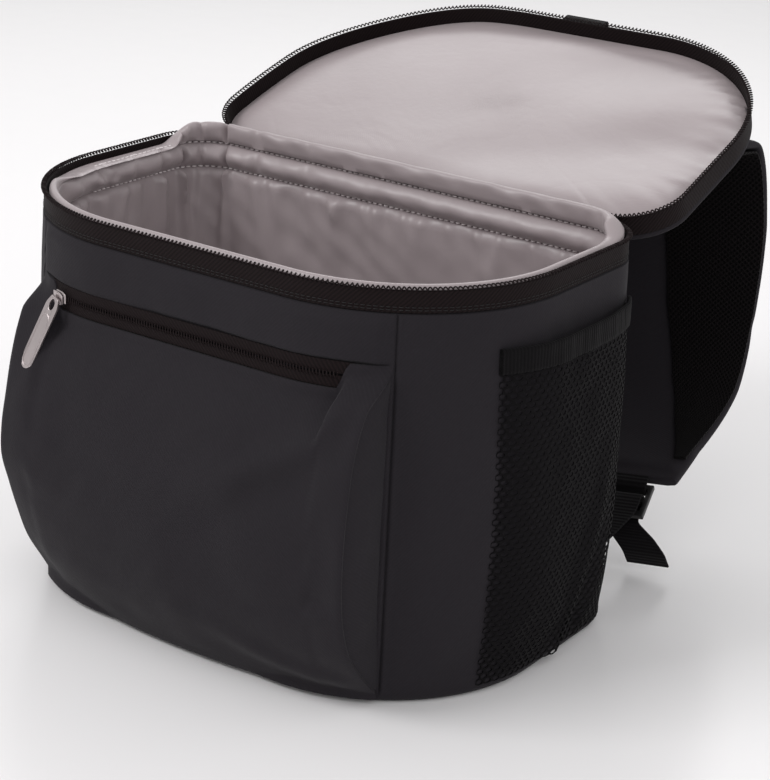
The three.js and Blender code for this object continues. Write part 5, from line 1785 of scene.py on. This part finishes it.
def net_pockets():
    flat, faces = net_cells()
    y = np.clip(flat[:, 0], NET_FRONT + 0.2 * MM, NET_BACK - 0.2 * MM)
    z = np.maximum(flat[:, 1], NET_FOOT + 0.2 * MM)
    points = side_place(y, z, net_off(y, z) + 0.3 * MM)
    for name, side in SIDES.items():
        place = points * np.array((side, 1, 1))
        turned = faces if side > 0 else [tuple(reversed(face)) for face in faces]
        net = new_piece(f"net_{name}", place, turned, lambda mesh, corner_of: flat[corner_of])
        give_wall(net, sizes().net_strand)
        finish_piece(net, "Net yarn", nodes=[f"net_pocket_{name}"])
        net_band(name, side)


def net_band(name, side):
    """The elastic band over the net, gathered a little."""
    y = np.linspace(NET_FRONT, NET_BACK, 140)
    wall, edge = 1.8 * MM, 0.5 * MM
    profile = [(BAND_FOOT, 0), (BAND_FOOT, wall - edge), (BAND_FOOT + edge, wall)]
    for share in np.linspace(0.15, 0.85, 8):
        profile.append((BAND_FOOT + (BAND_TOP - BAND_FOOT) * share, wall + 0.15 * MM))
    profile += [(BAND_TOP - edge, wall), (BAND_TOP, wall - edge), (BAND_TOP, 0)]
    rings = []
    for z, off in profile:
        gather = 0.08 * MM * np.sin(y / (1.3 * MM) + 1.5 * ripple(y, z, 30 * MM, 92)) if off > 0 else 0
        rings.append(side_place(y, z, net_off(y, z) + off + gather))
    rings = np.stack(rings, axis=1) * np.array((side, 1, 1))
    piece = loft(f"net_elastic_{name}", rings)
    finish_piece(piece, "Elastic", nodes=[f"net_band_{name}"])


# The back panel and the straps


def back_panel():
    x = np.linspace(-BACK_HALF, BACK_HALF, 60)
    z = np.linspace(BACK_FOOT, BACK_TOP, 48)
    across, up = np.meshgrid(x, z)
    edge = np.minimum(BACK_HALF - np.abs(across), np.minimum(up - BACK_FOOT, BACK_TOP - up))
    rounding = np.clip(edge / (7 * MM), 0, 1)
    puff = np.sqrt(rounding * (2 - rounding))
    channel = hump(across, -CHANNEL_X, 3 * MM) + hump(across, CHANNEL_X, 3 * MM)
    channel = channel * smooth(edge, 8 * MM, 14 * MM)
    off = 1 * MM + (BACK_WALL - 2.4 * MM) * puff * (1 - 0.8 * channel)
    front = back_place(across, up, GAP)
    back = back_place(across, up, GAP + off)
    rings = np.concatenate((front, back[:, ::-1]), axis=1)
    piece = loft("back_padding", rings)
    places = vertex_places(piece)
    inner = places[:, 1] - back_place(0, places[:, 2], GAP)[:, 1] < 0.6 * MM
    channels = np.abs(np.abs(places[:, 0]) - CHANNEL_X) < 2 * MM
    swell(piece, np.flatnonzero(inner | channels).tolist(), PAD_CAP)
    finish_piece(piece, "Charcoal cloth", nodes=["back_panel"])


def smooth_route(points, steps):
    """A centripetal curve through points, and its forward ways."""
    points = np.asarray(points, float)
    padded = np.vstack((2 * points[0] - points[1], points, 2 * points[-1] - points[-2]))
    where = np.linspace(0, len(points) - 1, steps)
    places, ways = [], []
    for at in where:
        i = min(int(at), len(points) - 2)
        t = at - i
        p0, p1, p2, p3 = padded[i:i + 4]
        d0, d1, d2 = (math.sqrt(np.linalg.norm(b - a)) for a, b in ((p0, p1), (p1, p2), (p2, p3)))
        m1 = ((p1 - p0) / d0 - (p2 - p0) / (d0 + d1) + (p2 - p1) / d1) * d1
        m2 = ((p2 - p1) / d1 - (p3 - p1) / (d1 + d2) + (p3 - p2) / d2) * d1
        square = -3 * p1 + 3 * p2 - 2 * m1 - m2
        cube = 2 * p1 - 2 * p2 + m1 + m2
        places.append(p1 + m1 * t + square * t**2 + cube * t**3)
        ways.append(m1 + 2 * square * t + 3 * cube * t**2)
    ways = np.array(ways)
    return np.array(places), ways / np.linalg.norm(ways, axis=1)[:, None], where


def back_face(z):
    return back_place(0, z, GAP + BACK_WALL)[..., 1]


def strap_places():
    """Centres, forward, width and outward ways, and widths along the right strap."""
    base = float(back_face(STRAP_ROUTE[0]["z"] * MM))
    route = [(row["x"] * MM, base + row["out"] * MM, row["z"] * MM) for row in STRAP_ROUTE]
    centre, forward, where = smooth_route(route, STRAP_STEPS)
    rows = np.arange(len(STRAP_ROUTE))

    def column(name):
        return np.interp(where, rows, [row[name] for row in STRAP_ROUTE])

    turn, lift = np.radians(column("turn")), np.radians(column("lift"))
    width = sizes().strap_width * column("width")
    mesh = width * column("mesh")
    wide = np.stack((np.cos(turn) * np.cos(lift), np.sin(turn) * np.cos(lift), np.sin(lift)), axis=1)
    wide -= forward * np.einsum("ij,ij->i", wide, forward)[:, None]
    wide /= np.linalg.norm(wide, axis=1)[:, None]
    lines = {"centre": centre, "forward": forward, "wide": wide, "outward": np.cross(wide, forward)}
    return {**lines, "width": width, "mesh": mesh}


def strap_rings(places, profile, side, first=0, last=STRAP_STEPS):
    """Rings across the strap: a profile gives shares of its half width, distances aside and out."""
    chosen = slice(first, last)
    centre = places["centre"][chosen]
    rings = []
    for across, out in profile:
        point = centre + places["wide"][chosen] * across[chosen][:, None] + places["outward"][chosen] * out
        point[:, 1] = np.maximum(point[:, 1], back_face(centre[:, 2]) + GAP)
        rings.append(point)
    return np.stack(rings, axis=1) * np.array((side, 1, 1))


def straps():
    places = strap_places()
    half, thick = places["width"] / 2, sizes().strap_thickness / 2
    drawn = thick * PAD_DRAWN
    rim = half * 0.995
    across = np.linspace(-0.96, 0.96, 21)
    profile = [(half * share, -drawn) for share in across]
    profile += [(rim, -drawn * 0.5), (rim, drawn * 0.5)]
    profile += [(half * share, drawn) for share in -across]
    profile += [(-rim, drawn * 0.5), (-rim, -drawn * 0.5)]
    pad = loft("strap_padding_right", strap_rings(places, profile, 1))
    sides = len(profile)
    total, sewn = len(pad.data.vertices), 3 * sides
    ends = [*range(sewn), *range(total - sewn, total)]
    swell(pad, ends, PAD_CAP)
    mirror = pad.copy()
    mirror.data = pad.data.copy()
    mirror.name = "strap_padding_left"
    bpy.context.scene.collection.objects.link(mirror)
    mirror.data.transform(Matrix.Diagonal((-1, 1, 1, 1)))
    make_consistent(mirror)
    for name, side in SIDES.items():
        piece = pad if side > 0 else mirror
        finish_piece(piece, "Charcoal cloth", nodes=[f"strap_pad_{name}"])
        strap_mesh(name, side, places, half, thick)
        strap_end(name, side, places)


def strap_mesh(name, side, places, half, thick):
    """The open knit face of the pad, puffed between its edges."""
    outer = half - 1.5 * MM
    inner = np.clip(places["mesh"], 4 * MM - half, outer - 2 * MM)
    near, far = -thick - 0.6 * MM, -thick - 2.1 * MM
    profile = [(inner, near), (outer, near)]
    for way in np.linspace(1, 0, 20):
        puff = 0.8 * MM * math.sin(math.pi * way) ** 0.5
        profile.append((inner + (outer - inner) * way, far - puff))
    rings = strap_rings(places, profile, side, MESH_START, MESH_END)
    piece = loft(f"strap_knit_{name}", rings)
    finish_piece(piece, "Air mesh", nodes=[f"strap_air_mesh_{name}"])


# The adjusters and the webbing


def adjuster(name, side, matrix):
    """A frame of three bars: a block with two slots cut through by bisect and bridge, then softened."""
    reach = 3 * LOCK_BAR + 2 * LOCK_SLOT
    size = (LOCK_WIDTH, reach, LOCK_THICKNESS)
    piece = primitive_block(f"adjuster_{name}", (0, LOCK_START + reach / 2, 0), size)
    start_edit(piece)
    lines = [LOCK_START + LOCK_BAR, LOCK_START + LOCK_BAR + LOCK_SLOT]
    lines += [LOCK_START + 2 * LOCK_BAR + LOCK_SLOT, LOCK_START + 2 * (LOCK_BAR + LOCK_SLOT)]
    for y in lines:
        bpy.ops.mesh.select_all(action="SELECT")
        bpy.ops.mesh.bisect(plane_co=(0, y, 0), plane_no=(0, 1, 0))
    for x in (-LOCK_WIDTH / 2 + LOCK_RAIL, LOCK_WIDTH / 2 - LOCK_RAIL):
        bpy.ops.mesh.select_all(action="SELECT")
        bpy.ops.mesh.bisect(plane_co=(x, 0, 0), plane_no=(1, 0, 0))
    end_edit()
    for start in (lines[0], lines[2]):
        clear_selection(piece)
        for polygon in piece.data.polygons:
            centre = polygon.center
            inside = start < centre.y < start + LOCK_SLOT and abs(centre.x) < LOCK_WIDTH / 2 - LOCK_RAIL
            polygon.select = inside and abs(polygon.normal.z) > 0.5
        bpy.ops.object.mode_set(mode="EDIT")
        bpy.ops.mesh.select_mode(type="FACE")
        bpy.ops.mesh.bridge_edge_loops()
        bpy.ops.object.mode_set(mode="OBJECT")
    make_consistent(piece)
    softened(piece, 0.6 * MM, 3)
    piece.data.transform(Matrix.Diagonal((side, 1, 1, 1)) @ matrix)
    make_consistent(piece)
    finish_piece(piece, "Moulded plastic", nodes=[f"ladder_lock_{name}"], angle=30)


def strap_end(name, side, places):
    """The tab, the adjuster and the webbing at the pad's lower end."""
    centre, forward, wide, outward = (places[key][-1] for key in ("centre", "forward", "wide", "outward"))

    def place(ahead, out):
        return centre + forward * ahead + outward * out

    wall = sizes().webbing_wall
    turn = math.hypot(LOCK_BAR, LOCK_THICKNESS) / 2 / math.cos(math.radians(22.5)) + GAP + wall / 2

    def bend(middle, start, end):
        angles = np.radians(np.linspace(start, end, 9))
        return [place(middle + turn * math.cos(angle), turn * math.sin(angle)) for angle in angles]

    first_bar = LOCK_START + LOCK_BAR / 2
    middle_bar = first_bar + LOCK_BAR + LOCK_SLOT
    lock_end = middle_bar + LOCK_BAR * 1.5 + LOCK_SLOT
    mirror = np.array((side, 1, 1))
    tab = np.array([place(GAP, turn), *bend(first_bar, 90, -90), place(GAP, -turn)])
    tab_piece = strip(f"tab_{name}", tab * mirror, wide * mirror, sizes().webbing_width, wall)
    finish_piece(tab_piece, "Webbing", nodes=[f"strap_tab_{name}"])

    anchor = back_place(centre[0], WEBBING_FOOT, GAP + wall / 2)
    hanging = place(lock_end, turn)
    tail = [
        (
            hanging[0] + TAIL_REACH * row["aside"],
            hanging[1] + TAIL_REACH * row["back"],
            TAIL_FLOOR + (hanging[2] - TAIL_FLOOR) * row["height"],
        )
        for row in WEBBING_TAIL
    ]
    held = [anchor, place(lock_end, -turn), *bend(middle_bar, -90, -270), hanging]
    line = np.array([*held, *tail])
    webbing = strip(f"webbing_{name}", line * mirror, wide * mirror, sizes().webbing_width, wall)
    finish_piece(webbing, "Webbing", nodes=[f"strap_webbing_{name}"])
    adjuster(name, side, axes_matrix(wide, forward, outward, centre))


# Floor, light and camera


def camera():
    data = bpy.data.cameras.new("Camera")
    data.lens = CAMERA_LENS
    data.sensor_width = CAMERA_SENSOR
    data.clip_start = 0.05
    data.clip_end = 50
    view = bpy.data.objects.new("Camera", data)
    view.matrix_world = axes_matrix(CAMERA_RIGHT, CAMERA_UP, CAMERA_BACK, CAMERA_PLACE)
    bpy.context.scene.collection.objects.link(view)
    bpy.context.scene.camera = view


def soft_light(name, place, target, size, power):
    data = bpy.data.lights.new(name, "AREA")
    data.energy = power
    data.size = size
    data.shape = "SQUARE"
    lamp = bpy.data.objects.new(name, data)
    lamp.location = place
    lamp.rotation_euler = (Vector(target) - Vector(place)).to_track_quat("-Z", "Y").to_euler()
    bpy.context.scene.collection.objects.link(lamp)


def stage():
    bpy.ops.object.select_all(action="DESELECT")
    bpy.ops.mesh.primitive_plane_add(size=FLOOR_SIZE, location=(0, 0, 0))
    floor = bpy.context.object
    floor.name = "floor"
    tree, shader, place = new_material("Pale floor")
    cloud = place_group(tree, "Cloud", place.outputs["Object"], Broad=2, Fine=30)
    base = blend_colours(tree, cloud.outputs["Tone"], tinted(colours().floor, 0.985), tuple(colours().floor))
    link(tree, base, shader.inputs["Base Color"])
    link(tree, ranged(tree, cloud.outputs["Grain"], 0.22, 0.27), shader.inputs["Roughness"])
    floor.data.materials.append(bpy.data.materials["Pale floor"])

    world = bpy.context.scene.world or bpy.data.worlds.new("Studio")
    bpy.context.scene.world = world
    world.use_nodes = True
    background = world.node_tree.nodes["Background"]
    background.inputs["Color"].default_value = (1, 1, 1, 1)
    path = world.node_tree.nodes.new("ShaderNodeLightPath")
    strength = ranged(world.node_tree, path.outputs["Is Camera Ray"], WORLD_LIGHT, WORLD_SEEN)
    link(world.node_tree, strength, background.inputs["Strength"])
    for lamp in LAMPS:
        soft_light(**lamp)
    bpy.context.scene.view_settings.view_transform = "Standard"


# The add-on's operators, panel and properties


class COOLER_OT_camera_view(Operator):
    """Place the camera at the photograph's angle"""

    bl_idname = "cooler.camera_view"
    bl_label = "Camera view"

    def execute(self, context):
        camera()
        return {"FINISHED"}


class COOLER_OT_finishes(Operator):
    """Make the finishes of cloth, satin, net, plastic and metal"""

    bl_idname = "cooler.finishes"
    bl_label = "Finishes"

    def execute(self, context):
        make_materials()
        return {"FINISHED"}


class COOLER_OT_body_shell(Operator):
    """Build the charcoal body and its seams"""

    bl_idname = "cooler.body_shell"
    bl_label = "Body shell"

    def execute(self, context):
        body_shell()
        return {"FINISHED"}


class COOLER_OT_lining(Operator):
    """Build the silver lining with its rolls, gathers and stitches"""

    bl_idname = "cooler.lining"
    bl_label = "Lining"

    def execute(self, context):
        lining_cup()
        return {"FINISHED"}


class COOLER_OT_rim_zip(Operator):
    """Build the tape, coil and stitches round the rim, and the main slider"""

    bl_idname = "cooler.rim_zip"
    bl_label = "Rim zip"

    def execute(self, context):
        rim_zip()
        main_slider()
        return {"FINISHED"}


class COOLER_OT_lid(Operator):
    """Build the lid's cloth, lining, zip and loop"""

    bl_idname = "cooler.lid"
    bl_label = "Lid"

    def execute(self, context):
        lid_panel()
        lid_lining()
        lid_zip()
        lid_loop()
        return {"FINISHED"}


class COOLER_OT_hinge(Operator):
    """Build the cloth that joins the lid to the back"""

    bl_idname = "cooler.hinge"
    bl_label = "Hinge cloth"

    def execute(self, context):
        hinge_cloth()
        return {"FINISHED"}


class COOLER_OT_front_pocket(Operator):
    """Build the pocket's cloth and its sides"""

    bl_idname = "cooler.front_pocket"
    bl_label = "Front pocket"

    def execute(self, context):
        front_pocket()
        return {"FINISHED"}


class COOLER_OT_pocket_zip(Operator):
    """Build the pocket's zip, slider and puller"""

    bl_idname = "cooler.pocket_zip"
    bl_label = "Pocket zip"

    def execute(self, context):
        pocket_zip()
        pocket_slider()
        pocket_puller()
        return {"FINISHED"}


class COOLER_OT_net_pockets(Operator):
    """Build the nets and their elastic bands"""

    bl_idname = "cooler.net_pockets"
    bl_label = "Net pockets"

    def execute(self, context):
        net_pockets()
        return {"FINISHED"}


class COOLER_OT_back_panel(Operator):
    """Build the padded back"""

    bl_idname = "cooler.back_panel"
    bl_label = "Back panel"

    def execute(self, context):
        back_panel()
        return {"FINISHED"}


class COOLER_OT_straps(Operator):
    """Build the shoulder pads, their mesh, webbing and adjusters"""

    bl_idname = "cooler.straps"
    bl_label = "Straps"

    def execute(self, context):
        straps()
        return {"FINISHED"}


class COOLER_OT_stage(Operator):
    """Build the floor and the lights"""

    bl_idname = "cooler.stage"
    bl_label = "Stage"

    def execute(self, context):
        stage()
        return {"FINISHED"}


OPERATORS = [
    COOLER_OT_camera_view,
    COOLER_OT_finishes,
    COOLER_OT_body_shell,
    COOLER_OT_lining,
    COOLER_OT_rim_zip,
    COOLER_OT_lid,
    COOLER_OT_hinge,
    COOLER_OT_front_pocket,
    COOLER_OT_pocket_zip,
    COOLER_OT_net_pockets,
    COOLER_OT_back_panel,
    COOLER_OT_straps,
    COOLER_OT_stage,
]


class COOLER_PT_Panel(Panel):
    """Lists the bag's sizes, colours and building steps."""

    bl_label = "Cooler Backpack"
    bl_idname = "COOLER_PT_panel"
    bl_space_type = "VIEW_3D"
    bl_region_type = "UI"
    bl_category = "Cooler"

    def draw(self, context):
        for group in (context.scene.cooler_sizes, context.scene.cooler_colours):
            for name in group.bl_rna.properties.keys():
                if name not in ("rna_type", "name"):
                    self.layout.prop(group, name)
        for operator in OPERATORS:
            self.layout.operator(operator.bl_idname)


CLASSES = [CoolerSizes, CoolerColours, *OPERATORS, COOLER_PT_Panel]


def register():
    for made in CLASSES:
        bpy.utils.register_class(made)
    bpy.types.Scene.cooler_sizes = PointerProperty(type=CoolerSizes)
    bpy.types.Scene.cooler_colours = PointerProperty(type=CoolerColours)


def unregister():
    del bpy.types.Scene.cooler_sizes
    del bpy.types.Scene.cooler_colours
    for made in reversed(CLASSES):
        bpy.utils.unregister_class(made)


def main():
    register()
    bpy.ops.cooler.camera_view()
    bpy.ops.cooler.finishes()
    bpy.ops.cooler.body_shell()
    bpy.ops.cooler.lining()
    bpy.ops.cooler.rim_zip()
    bpy.ops.cooler.lid()
    bpy.ops.cooler.hinge()
    bpy.ops.cooler.front_pocket()
    bpy.ops.cooler.pocket_zip()
    bpy.ops.cooler.net_pockets()
    bpy.ops.cooler.back_panel()
    bpy.ops.cooler.straps()
    bpy.ops.cooler.stage()


if __name__ == "__main__":
    main()
